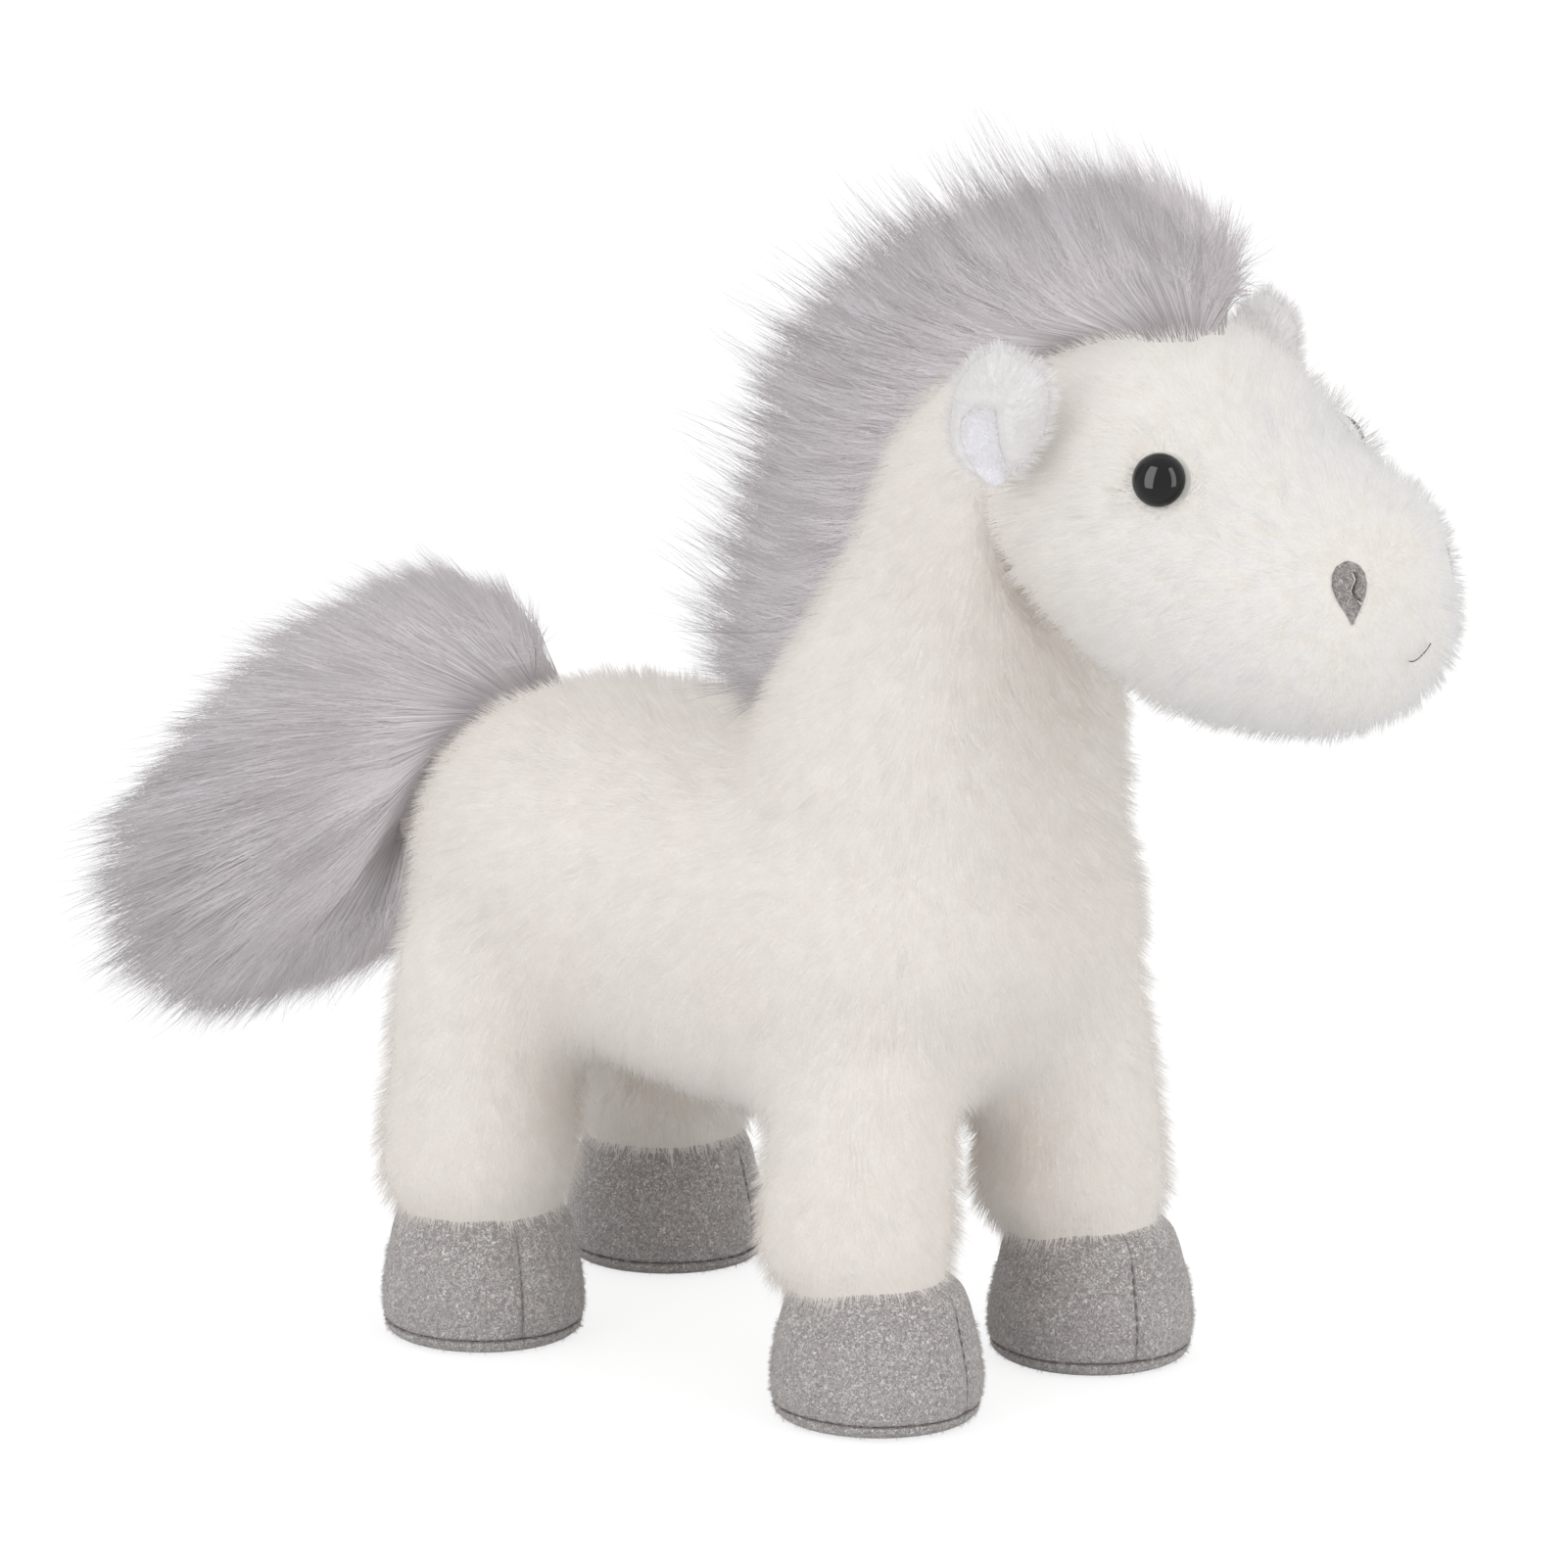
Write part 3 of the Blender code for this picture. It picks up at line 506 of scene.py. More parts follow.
hoof = {
    "halfLength": 0.0243, "halfWidth": 0.0236,
    "soleLine": 0.0036,
    # radius as a share, and height
    "sole": ((0, 0), (0.76, 0), (0.86, 0.0002), (0.925, 0.0008), (0.962, 0.0018), (0.978, 0.0028),
             (0.970, 0.0034), (0.92, 0.0035), (0, 0.0035)),
    "upper": ((0, 0.0036), (0.92, 0.0036), (0.970, 0.0037), (0.993, 0.0050), (1.004, 0.0080),
              (1.002, 0.0115), (0.982, 0.0150), (0.952, 0.0190), (0.915, 0.0230), (0.872, 0.0270),
              (0.80, 0.0308), (0.62, 0.0332), (0, 0.0340)),
    "wall": slice(3, 11),  # the rows of the upper that the stitches follow
    "seamPinch": 0.022, "seamReach": 0.0021,
    "unevenness": 0.0005, "grain": 70, "flatBelow": 0.0015,
    "soleShade": (0.0004, 0.3), "seamShade": (0.00045, 0.6),  # reach and strength of the painted shade in the seams
    "stitchLength": 0.0021, "stitchStep": 0.0033, "stitchRadius": 0.00020,
    "soleStitches": 0.982, "stitchLift": 0.0001,  # how far out they lie, and how far above the sole's line
    "seamStitches": (0.0078, 0.0260), "seamInset": 0.85, "seamLength": 0.8, "seamStep": 0.85,
    "napHeights": (0.0012, 0.0215), "bareSeam": 0.0006,
}


def hoofFrame(place):
    # the hoof's own axes: x to the toe, y to its left side, z up, from the middle of the sole
    left = meanPoint(f"hoof_{place}_left_panel") - meanPoint(f"hoof_{place}_right_panel")
    left.z = 0
    left.normalize()
    low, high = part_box(f"sole_{place}")
    turn = Matrix((Vector((left.y, -left.x, 0)), left, Vector((0, 0, 1)))).transposed()
    return Matrix.Translation(((low.x + high.x) / 2, (low.y + high.y) / 2, 0)) @ turn.to_4x4()


def shapeHoof(bm, seed, pinched):
    # an oval, drawn in along its two upright seams and a little uneven, as stuffing is
    for vert in bm.verts:
        x, y, z = vert.co
        x, y = x * hoof["halfLength"], y * hoof["halfWidth"]
        pull = hoof["seamPinch"] * math.exp(-(y / hoof["seamReach"]) ** 2) if pinched else 0
        spot = Vector((x, y, z)) * hoof["grain"] + Vector((seed * 7.3, 0, 0))
        bulge = hoof["unevenness"] * noise.noise(spot)
        away = Vector((x, y, 0))
        reach = away.length
        if reach > 0.001:
            away *= 1 - pull + (bulge / reach if z > hoof["flatBelow"] else 0)
        vert.co = (away.x, away.y, z)


# painted shade along the line where sole and upper meet
def soleSeamShade(point):
    reach, strength = hoof["soleShade"]
    return math.exp(-(abs(point.z - hoof["soleLine"]) / reach) ** 2) * strength


def capsule(bm, start, end, radius):
    # one stitch of thread, lying between two points
    run = end - start
    place = Matrix.Translation((start + end) / 2) @ run.to_track_quat("Z", "Y").to_matrix().to_4x4()
    size = Matrix.Diagonal((radius, radius, run.length / 2, 1))
    bmesh.ops.create_uvsphere(bm, u_segments=6, v_segments=5, radius=1, matrix=place @ size)


def makeHoof(place, seed):
    axes = hoofFrame(place)
    back = axes.inverted()

    # painted shade along the upright seams, and where sole and upper meet
    def panelSeamShade(point):
        reach, strength = hoof["seamShade"]
        return max(math.exp(-((back @ point).y / reach) ** 2) * strength, soleSeamShade(point))

    sole = spinProfile(roundedProfile(hoof["sole"]), 2 * math.pi, 120)
    shapeHoof(sole, seed, False)
    bmesh.ops.transform(sole, matrix=axes, verts=sole.verts)
    piece = finishPiece(f"hoof_{place}_underside", sole, hoofSuede, soleSeamShade)
    pieces = [placePiece(piece, "body", [f"sole_{place}"])]
    for side, angle in (("left", math.pi), ("right", -math.pi)):
        panel = spinProfile(roundedProfile(hoof["upper"]), angle, 100)
        shapeHoof(panel, seed, True)
        bmesh.ops.transform(panel, matrix=axes, verts=panel.verts)
        piece = finishPiece(f"hoof_{place}_panel_{side}", panel, hoofSuede, panelSeamShade)
        pieces.append(placePiece(piece, "body", [f"hoof_{place}_{side}_panel"]))
    stitchHoof(place, axes)
    return pieces


def stitchHoof(place, axes):
    bm = bmesh.new()
    ring = 2 * math.pi * (hoof["halfLength"] + hoof["halfWidth"]) / 2
    count = int(ring / hoof["stitchStep"])
    half = hoof["stitchLength"] / hoof["halfLength"] / 2
    out = hoof["soleStitches"]
    for step in range(count):
        middle = 2 * math.pi * step / count
        ends = [Vector((math.cos(turn) * hoof["halfLength"] * out, math.sin(turn) * hoof["halfWidth"] * out,
                        hoof["soleLine"] + hoof["stitchLift"])) for turn in (middle - half, middle + half)]
        capsule(bm, *ends, hoof["stitchRadius"])
    radii, heights = zip(*hoof["upper"][hoof["wall"]])
    inset = hoof["halfLength"] * (1 - hoof["seamPinch"] * hoof["seamInset"])
    for sign in (1, -1):
        z, top = hoof["seamStitches"]
        while z < top:
            ends = [Vector((sign * inset * np.interp(level, heights, radii), 0, level))
                    for level in (z, z + hoof["stitchLength"] * hoof["seamLength"])]
            capsule(bm, *ends, hoof["stitchRadius"])
            z += hoof["stitchStep"] * hoof["seamStep"]
    bmesh.ops.transform(bm, matrix=axes, verts=bm.verts)
    orderFaces(bm)
    placePiece(finishPiece(f"hoof_{place}_stitching", bm, threadMaterial), "body")


hoofPieces = {place: makeHoof(place, seed) for seed, place in enumerate(hoofPlaces)}
print("hooves ready")


ear = {
    # the pad's outline in mm from its pinched base up, to the rear and to the front
    "heights": (0.0, 0.06, 0.13, 0.22, 0.35, 0.50, 0.65, 0.78, 0.90, 1.0),
    "rear": (-1.0, -4.0, -7.2, -9.3, -9.9, -9.7, -9.0, -7.2, -4.4, 0.4),
    "front": (1.5, 3.0, 5.2, 8.0, 10.4, 11.6, 12.2, 11.8, 8.6, 1.4),
    "thickness": (1.6, 3.2, 4.6, 5.6, 6.2, 6.3, 6.2, 5.6, 4.2, 0.4),
    "rise": 0.0300,
    "base": (0.1120, 0.0478, 0.2225),
    "faces": 22.0, "tilt": 4.0,  # degrees that the ear turns to the front, and leans out
    "liningRear": (-1.2, -2.2, -3.6, -5.2, -6.4, -6.2, -3.4, -3.0, -3.0, -3.0),
    "liningFront": (1.6, 2.6, 3.2, 3.3, 2.4, 2.0, 2.2, 2.2, 2.2, 2.2),
    "liningTop": 0.58,
    "liningEdges": (4.0, 0.7, 0.20),  # how softly it ends to the rear, to the front and above
    "liningDepth": 2.8, "liningFrom": 0.15,
    "rollPlace": 3.2, "rollReach": 2.4, "rollHeight": 1.3, "rollFrom": 0.3, "rollTo": (0.6, 0.3),
    "patchFrom": 0.35, "patchLift": 0.00025, "patchThickness": 0.0004,
    "bareLining": 0.80,
    "fan": 14,  # mm to the side over which the pile's lie fans out
}


def earRow(name, height):
    return float(np.interp(height, ear["heights"], ear[name]))


def liningShare(across, height):
    # 1 in the sunken lining of the ear, 0 on its furry rims
    rearEdge, frontEdge, topEdge = ear["liningEdges"]
    rear = smoothStep((across - earRow("liningRear", height)) / rearEdge + 0.5)
    front = 1 - smoothStep((across - earRow("liningFront", height)) / frontEdge + 0.5)
    top = 1 - smoothStep((height - ear["liningTop"]) / topEdge + 0.5)
    return rear * front * top


def earAxes(side):
    sign = sideNames[side]
    turn, tilt = math.radians(ear["faces"]), math.radians(ear["tilt"])
    upright = Vector((0, 0, 1))
    across = Vector((math.cos(turn), -sign * math.sin(turn), 0))
    away = Vector((math.sin(turn), sign * math.cos(turn), 0))
    rise = upright * math.cos(tilt) + away * math.sin(tilt)
    away = away * math.cos(tilt) - upright * math.sin(tilt)
    base = Vector(ear["base"])
    base.y *= sign
    return base, across, away, rise


def girthAt(z):
    # a unit ball's radius at a height, which turns its sides into a column's
    return max(math.sqrt(max(1 - z * z, 0)), 0.02)


def makeEar(side):
    base, across, away, rise = earAxes(side)
    bm = bmesh.new()
    bmesh.ops.create_icosphere(bm, subdivisions=6, radius=1)
    lining = bm.verts.layers.float.new("lining")
    for vert in bm.verts:
        x, y, z = vert.co
        height = (z + 1) / 2
        x, y = x / girthAt(z), y / girthAt(z)
        rear, front = earRow("rear", height), earRow("front", height)
        reach = (rear + front) / 2 + (front - rear) / 2 * x
        thick = earRow("thickness", height) * y
        share = 0
        if y > 0:
            share = liningShare(reach, height)
            thick -= ear["liningDepth"] * share * smoothStep(height / ear["liningFrom"])
            # the front rim rolls over the lining's edge
            past = reach - earRow("liningFront", height) - ear["rollPlace"]
            roll = math.exp(-(past / ear["rollReach"]) ** 2) * smoothStep(height / ear["rollFrom"])
            thick += ear["rollHeight"] * roll * (1 - fade(height, *ear["rollTo"]))
        vert[lining] = share
        vert.co = base + (across * reach + away * thick) * mm + rise * height * ear["rise"]
    smoothOut(bm, bm.verts, 3, 0.4)
    faceOutward(bm)
    cloth = bm.copy()
    piece = finishPiece(f"ear_pad_{side}", bm, earBacking)
    placePiece(piece, f"ear_{side}", [f"ear_{side}"])

    # the lining is its own cloth, laid over the sunken part
    depth = cloth.verts.layers.float["lining"]
    spare = [face for face in cloth.faces if min(vert[depth] for vert in face.verts) < ear["patchFrom"]]
    bmesh.ops.delete(cloth, geom=spare, context="FACES")
    for vert in cloth.verts:
        vert.co += vert.normal * ear["patchLift"]
    bmesh.ops.solidify(cloth, geom=cloth.faces[:], thickness=ear["patchThickness"])
    patch = finishPiece(f"ear_inner_{side}", cloth, earVelboa, lambda point: 0.0)
    placePiece(patch, f"ear_{side}", [f"ear_lining_{side}"])
    return piece


earPads = {side: makeEar(side) for side in sideNames}
print("ears ready")


eye = {
    "radius": 0.0060, "height": 0.0045,
    "sunk": {"left": 0.0063, "right": 0.0033},  # below the CAD eye's highest point
    "profile": ((0, 1.0), (0.22, 0.985), (0.45, 0.91), (0.66, 0.77), (0.82, 0.58), (0.93, 0.36),
                (0.985, 0.16), (1.0, 0.0), (0.985, -0.10), (0.93, -0.16), (0.40, -0.18), (0.40, -1.2),
                (0, -1.2)),
}


def makeEye(side):
    head, washer = meanPoint(f"eye_{side}"), meanPoint(f"eye_washer_{side}")
    axis = (head - washer).normalized()
    reach = max((vert.co - head).dot(axis) for vert in nodes[f"eye_{side}"].data.vertices)
    seat = head + axis * (reach - eye["sunk"][side] - eye["height"])
    bm = spinProfile([(r * eye["radius"], z * eye["height"]) for r, z in roundedProfile(eye["profile"])],
                     2 * math.pi, 64)
    place = Matrix.Translation(seat) @ axis.to_track_quat("Z", "Y").to_matrix().to_4x4()
    bmesh.ops.transform(bm, matrix=place, verts=bm.verts)
    piece = finishPiece(f"eye_dome_{side}", bm, eyePlastic)
    placePiece(piece, "body", [f"eye_{side}"])
    nodes[f"eye_washer_{side}"].material_slots[0].material = washerPlastic
    return seat, axis


eyeSeats = {side: makeEye(side) for side in sideNames}


def onSkin(tree, point, away):
    # where a line from outside meets a skin
    return tree.ray_cast(point + away * 0.03, -away, 0.08)[0]


nostril = {
    "halfWidth": 0.0043, "halfHeight": 0.0069, "puff": 0.0007, "back": -0.002,
    "proud": {"left": -0.0009, "right": 0.0001}, "forward": {"left": -0.0022, "right": 0.0010},
    "lower": 0.0006,
    # the teardrop's half width from its pointed foot up, as shares
    "outline": ((0.0, 0.05), (0.12, 0.26), (0.28, 0.58), (0.45, 0.86), (0.62, 1.0), (0.80, 0.92),
                (0.93, 0.62), (1.0, 0.1)),
    # the fold: how far it lies to the front, from its foot up
    "fold": ((0.30, 0.55), (0.38, 0.30), (0.46, 0.06), (0.52, 0.0), (0.60, 0.12), (0.70, 0.30), (0.80, 0.20)),
    "foldFrom": (0.28, 0.04), "foldTo": (0.80, 0.04), "foldDepth": 0.0012, "foldReach": 0.00042,
    "step": 0.0004, "stepReach": 0.0010,  # how much higher the cloth behind the fold stands
    "bareCrease": 0.02,
}


def makeNostril(side):
    low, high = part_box(f"nostril_{side}")
    centre = (low + high) / 2
    away = Vector(headTree.find_nearest(centre)[1]).normalized()
    up = (Vector((0, 0, 1)) - away * away.z).normalized()
    front = up.cross(away) * sideNames[side]  # towards the nose's tip
    if front.x < 0:
        front = -front
    centre += front * nostril["forward"][side] - up * nostril["lower"]
    bm = bmesh.new()
    bmesh.ops.create_icosphere(bm, subdivisions=5, radius=1)
    fold = bm.verts.layers.float.new("fold")
    shares, widths = zip(*nostril["outline"])
    levels, bends = zip(*nostril["fold"])
    for vert in bm.verts:
        x, y, z = vert.co
        height = (z + 1) / 2
        girth = girthAt(z)
        reach = x / girth * np.interp(height, shares, widths)
        inFold = fade(height, *nostril["foldFrom"]) * (1 - fade(height, *nostril["foldTo"]))
        gap = (reach - np.interp(height, levels, bends)) * nostril["halfWidth"]
        crease = math.exp(-(gap / nostril["foldReach"]) ** 2) * inFold if y > 0 else 0
        base = centre + front * float(reach) * nostril["halfWidth"] + up * z * nostril["halfHeight"]
        seat = onSkin(headTree, base, away)
        depth = (seat - base).dot(away) if seat else nostril["back"]
        puff = nostril["puff"] * y / girth * math.sqrt(max(1 - (x * x + z * z) * 0.8, 0.05))
        if y > 0:
            step = nostril["step"] * inFold * (1 - smoothStep(gap / nostril["stepReach"] + 0.5))
            puff += step - nostril["foldDepth"] * crease
        vert[fold] = crease
        vert.co = base + away * (depth + nostril["proud"][side] + puff)
    # the fold's crease gets painted shade, near black in the velboa's colours
    creases = [vert[fold] for vert in bm.verts]
    piece = finishPiece(f"nostril_patch_{side}", bm, nostrilVelboa)
    piece.data.attributes.new("seam", "FLOAT", "POINT").data.foreach_set("value", creases)
    placePiece(piece, "body", [f"nostril_{side}"])
    return centre, piece


nostrils = {side: makeNostril(side) for side in sideNames}

mouth = {
    # the smile from its right corner to its left, as aside and up from its lowest point, in mm
    "line": ((-3.4, 0.4), (-2.0, 0.0), (-0.6, 0.1), (1.0, 0.7), (2.4, 1.5), (3.6, 2.4), (4.4, 3.1)),
    "radius": 0.00016, "proud": 0.0011, "stitches": 5, "overlap": 0.3,
}


def makeMouth():
    low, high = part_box("mouth_stitch")
    middle = (low + high) / 2
    away = Vector((1, 0, 0))
    seats = []
    for aside, rise in mouth["line"]:
        seats.append(Vector((middle.x, middle.y + aside * mm, low.z + rise * mm)))
    seats = [(onSkin(headTree, base, away) or base) + away * mouth["proud"] for base in softCurve(seats, 3)]
    bm = bmesh.new()
    per = len(seats) / mouth["stitches"]
    for stitch in range(mouth["stitches"]):
        first, last = int(stitch * per), min(int((stitch + 1) * per) - 1, len(seats) - 1)
        for start, end in zip(seats[first:last], seats[first + 1:last + 1]):
            capsule(bm, start, end + (end - start) * mouth["overlap"], mouth["radius"])
    placePiece(finishPiece("mouth_thread", bm, mouthThread), "body", ["mouth_stitch"])
    return seats


mouthSeats = makeMouth()
print("eyes, nostrils and mouth ready")


# Hairs

def hairTemplate(cuts):
    # one hair: a three-sided cone, cut across, from its root at 0 to its tip at 1
    bm = bmesh.new()
    bmesh.ops.create_cone(bm, cap_ends=True, segments=3, radius1=1, radius2=0, depth=1,
                          matrix=Matrix.Translation((0, 0, 0.5)))
    bmesh.ops.remove_doubles(bm, verts=bm.verts, dist=0.001)
    for cut in range(1, cuts + 1):
        bmesh.ops.bisect_plane(bm, geom=bm.verts[:] + bm.edges[:] + bm.faces[:],
                               plane_co=(0, 0, cut / (cuts + 1)), plane_no=(0, 0, 1))
    bmesh.ops.recalc_face_normals(bm, faces=bm.faces)
    bm.verts.ensure_lookup_table()
    points = np.array([vert.co for vert in bm.verts])
    faces = [[vert.index for vert in face.verts] for face in bm.faces]
    looks = np.array([face.normal for face in bm.faces])
    bm.free()
    return points, faces, looks


def growHairs(name, hairs, cuts, fullness, material, ownShade, thickness):
    # one mesh of many hairs. hairs holds root, bend and tip points, width, normals, shades and lots.
    # ownShade is how far each hair is lit by its own form, and not as the surface it belongs to.
    # thickness is a share of the width: flatter hairs show one broad side and blend into a soft surface
    points, faces, looks = hairTemplate(cuts)
    count, size = len(hairs["root"]), len(points)
    along = points[:, 2]
    around = points[:, :2] / np.maximum(np.linalg.norm(points[:, :2], axis=1), 1e-6)[:, None]
    taper = np.where(along < 0.999, 1 - along ** fullness, 0)
    share = along[None, :, None]
    root, bend, tip = (hairs[key][:, None, :] for key in ("root", "bend", "tip"))
    places = (1 - share) ** 2 * root + 2 * share * (1 - share) * bend + share ** 2 * tip
    run = unit(hairs["tip"] - hairs["root"])
    across = unit(np.cross(run, hairs["normal"]))
    above = np.cross(run, across)
    sides = across[:, None, :] * around[None, :, :1]
    faced = above[:, None, :] * around[None, :, 1:]
    width = (hairs["width"][:, None] * taper[None, :] / 2)[:, :, None]
    places += width * (sides + faced * thickness)

    mesh = bpy.data.meshes.new(name)
    mesh.vertices.add(count * size)
    mesh.vertices.foreach_set("co", places.astype(np.float32).ravel())
    corners = np.concatenate(faces)
    starts = np.cumsum([0] + [len(face) for face in faces[:-1]])
    shift = np.arange(count)[:, None]
    mesh.loops.add(count * len(corners))
    mesh.loops.foreach_set("vertex_index", (corners[None, :] + shift * size).astype(np.int32).ravel())
    mesh.polygons.add(count * len(faces))
    mesh.polygons.foreach_set("loop_start", (starts[None, :] + shift * len(corners)).astype(np.int32).ravel())
    mesh.update(calc_edges=True)
    mesh.shade_smooth()
    # the share of painted shade at each hair, where one is given
    hollow = np.repeat(hairs.get("hollow", np.zeros(count)), size)
    for attribute, values in (("along", np.tile(along, count)), ("lot", np.repeat(hairs["lot"], size)),
                              ("hollow", hollow)):
        mesh.attributes.new(attribute, "FLOAT", "POINT").data.foreach_set("value", values.astype(np.float32))

    # how each corner is lit: a flat hair's broad side turns its normals, and the tip is lit along the hair
    own = np.where(share > 0.999, run[:, None, :], unit(sides * thickness + faced))
    shades = unit(own * ownShade + hairs["shade"][:, None, :] * (1 - ownShade))[:, corners]
    # the underside of a hair, seen only at the object's edge, is lit from its own side
    for place, look in enumerate(looks.repeat([len(face) for face in faces], axis=0)):
        if look[1] > 0.1:
            shades[:, place] = unit(across * look[0] * thickness + above * look[1])
    mesh.normals_split_custom_set(shades.reshape(-1, 3).astype(np.float32))
    return letLightThrough(linkObject(name, mesh, material))


hollowRays = {"rays": 12, "leans": (40, 65), "turn": 2.4, "start": 0.002, "reach": 0.05}


def findHollows(piece, trees):
    # how shut in each point of a skin is, from 0 in the open to 1, which sets where shade is painted into the
    # pile
    turns = [(math.radians(hollowRays["leans"][step % 2]), step * hollowRays["turn"])
             for step in range(hollowRays["rays"])]
    shut = []
    for vert in piece.data.vertices:
        aside = vert.normal.orthogonal().normalized()
        over = vert.normal.cross(aside)
        start = vert.co + vert.normal * hollowRays["start"]
        hits = 0
        for lean, spin in turns:
            ray = (vert.normal * math.cos(lean)
                   + (aside * math.cos(spin) + over * math.sin(spin)) * math.sin(lean))
            hits += any(tree.ray_cast(start, ray, hollowRays["reach"])[0] is not None for tree in trees)
        shut.append(hits / len(turns))
    return np.array(shut)


def scatter(piece, density, rng, extra=None):
    # points spread evenly over a skin, with the skin's smooth normals and any extra values
    mesh = piece.data
    mesh.calc_loop_triangles()
    points = meshPoints(mesh)
    normals = np.empty(len(points) * 3, np.float32)
    mesh.vertices.foreach_get("normal", normals)
    normals = normals.reshape(-1, 3).astype(float)
    corners = np.empty(len(mesh.loop_triangles) * 3, np.int32)
    mesh.loop_triangles.foreach_get("vertices", corners)
    corners = corners.reshape(-1, 3)
    a, b, c = (points[corners[:, k]] for k in range(3))
    areas = np.linalg.norm(np.cross(b - a, c - a), axis=1) / 2
    count = int(areas.sum() * density)
    pick = np.searchsorted(np.cumsum(areas) / areas.sum(), rng.random(count))
    pick = np.minimum(pick, len(areas) - 1)
    u, v = rng.random((2, count))
    folded = u + v > 1
    u[folded], v[folded] = 1 - u[folded], 1 - v[folded]
    shares = np.stack([1 - u - v, u, v], axis=1)[:, :, None]
    place = (points[corners[pick]] * shares).sum(axis=1)
    normal = unit((normals[corners[pick]] * shares).sum(axis=1))
    if extra is None:
        return place, normal
    return place, normal, (extra[corners[pick]] * shares[:, :, 0]).sum(axis=1)


def nearestOf(points, centres):
    # the nearest centre to each point, as its index and how far it is
    tree = KDTree(len(centres))
    for index, centre in enumerate(centres):
        tree.insert(centre, index)
    tree.balance()
    found = [tree.find(point) for point in points]
    return np.array([hit[1] for hit in found]), np.array([hit[2] for hit in found])


def outside(points, tree, clearance, depth=0):
    # which points lie outside a closed skin by the clearance, or inside it by less than the depth
    kept = np.ones(len(points), bool)
    for index, point in enumerate(points):
        near, normal, _, distance = tree.find_nearest(point, 0.03)
        if near is not None:
            out = (Vector(point) - near).dot(normal) > 0
            kept[index] = distance > clearance if out else distance < depth
    return kept


plush = {
    "density": 1.60e6,  # hairs per square metre
    "length": 0.0058, "width": 0.00032,
    "lean": 52.0, "leanSpread": 9.0,  # degrees from upright
    "lengthSpread": (0.12, 0.08),  # of single hairs, and of tufts
    "bow": 0.10,  # how far a hair's middle stands off, per length
    "tuftShare": 0.06,  # tufts per hair
    "tuftPull": 0.18, "tuftDrift": 0.12, "strayDrift": 0.16,
    "ownShade": 0.36, "shadeSpread": 0.03,
    "thickness": 0.35,  # of a hair, per width
    "sink": 0.0006,  # how deep roots stand in the skin
    "bareEye": 0.0055, "otherSide": 0.03,
    "underMane": 0.004, "hemGap": 0.0004,
    "sleeveReach": 0.030, "sleeveTrim": 0.12,
    "paintedShadeTint": (0.22, 0.55, 0.75),  # the painted shade: from how shut in, over what span, up to which share
    "joinPaintedShade": (0.016, 0.35), "joinShade": (0.012, 0.62),
    "neckFrom": (0.030, 0.105), "legsBelow": 0.085, "midLegs": 0.012,  # the pieces' limits in x and z
}


def combDirection(points, onHead):
    # which way the pile lies: down, a little back on the trunk, and back along the head
    if onHead:
        return unit(np.tile([-1.0, 0.0, -0.45], (len(points), 1)))
    down = np.tile([0.0, 0.0, -1.0], (len(points), 1))
    down[:, 0] = -0.35 * np.clip((points[:, 2] - 0.06) / 0.05, 0, 1)
    return unit(down)


def alongSkin(comb, normal):
    return unit(comb - (comb * normal).sum(axis=1, keepdims=True) * normal)


def combPile(place, normal, comb, rng, length, style):
    # short hairs leaning along the comb, drawn together a little into tufts
    count = len(place)
    tufts = int(count * style["tuftShare"])
    seeds = rng.choice(count, tufts, replace=False)
    member = nearestOf(place, place[seeds])[0]
    drift = rng.normal(0, style["tuftDrift"], (tufts, 3))
    comb = alongSkin(comb, normal)
    comb += drift[member] + rng.normal(0, style["strayDrift"], (count, 3))
    flat = alongSkin(comb, normal)
    lean = np.radians(style["lean"] + rng.normal(0, style["leanSpread"], tufts)[member]
                      + rng.normal(0, style["leanSpread"], count))
    run = normal * np.cos(lean)[:, None] + flat * np.sin(lean)[:, None]
    ownSpread, tuftSpread = style["lengthSpread"]
    reach = length * (1 + rng.normal(0, ownSpread, count)) * (1 + rng.normal(0, tuftSpread, tufts)[member])
    tip = place + run * reach[:, None]
    centre = tip[seeds][member]
    tip += (centre - tip) * style["tuftPull"] * rng.random(count)[:, None]
    root = place - normal * style["sink"]
    return {
        "root": root, "bend": (root + tip) / 2 + normal * (reach * style["bow"])[:, None],
        "tip": tip, "normal": normal,
        "width": style["width"] * (0.8 + 0.4 * rng.random(count)),
        "lot": np.clip(0.5 * rng.random(count) + 0.5 * rng.random(tufts)[member], 0, 1),
        "shade": unit(normal + rng.normal(0, style["shadeSpread"], (tufts, 3))[member]),
    }


def subset(hairs, mask):
    return {key: value[mask] for key, value in hairs.items()}


def solidTree(node):
    mesh = copySolids(node, [node], 0)
    tree = meshTree(mesh)
    bpy.data.meshes.remove(mesh)
    return tree


maneTree = solidTree("mane")


def distances(points, tree, reach):
    # how far points are from a surface, up to the reach
    found = (tree.find_nearest(point, reach) for point in points)
    return np.array([reach if hit[0] is None else hit[3] for hit in found])


def plushZones(place):
    # a name for each hair's zone, so that each piece stays light
    x, y, z = place.T
    end = np.where(y > 0, "left", "right")
    part = np.full(len(place), "flank_", object)
    part[(x > plush["neckFrom"][0]) & (z > plush["neckFrom"][1])] = "neck_"
    legs = z < plush["legsBelow"]
    part[legs & (x > plush["midLegs"])] = "leg_front_"
    part[legs & (x <= plush["midLegs"])] = "leg_hind_"
    return part + end


def growPile(name, hairs, material, body):
    piece = growHairs(name, hairs, 0, 1.5, material, plush["ownShade"], plush["thickness"])
    placePiece(piece, body)


def shortNear(gap, reach, least):
    # 1 beyond the reach of something, and down to the least share beside it
    return least + (1 - least) * np.clip(gap / reach, 0, 1)


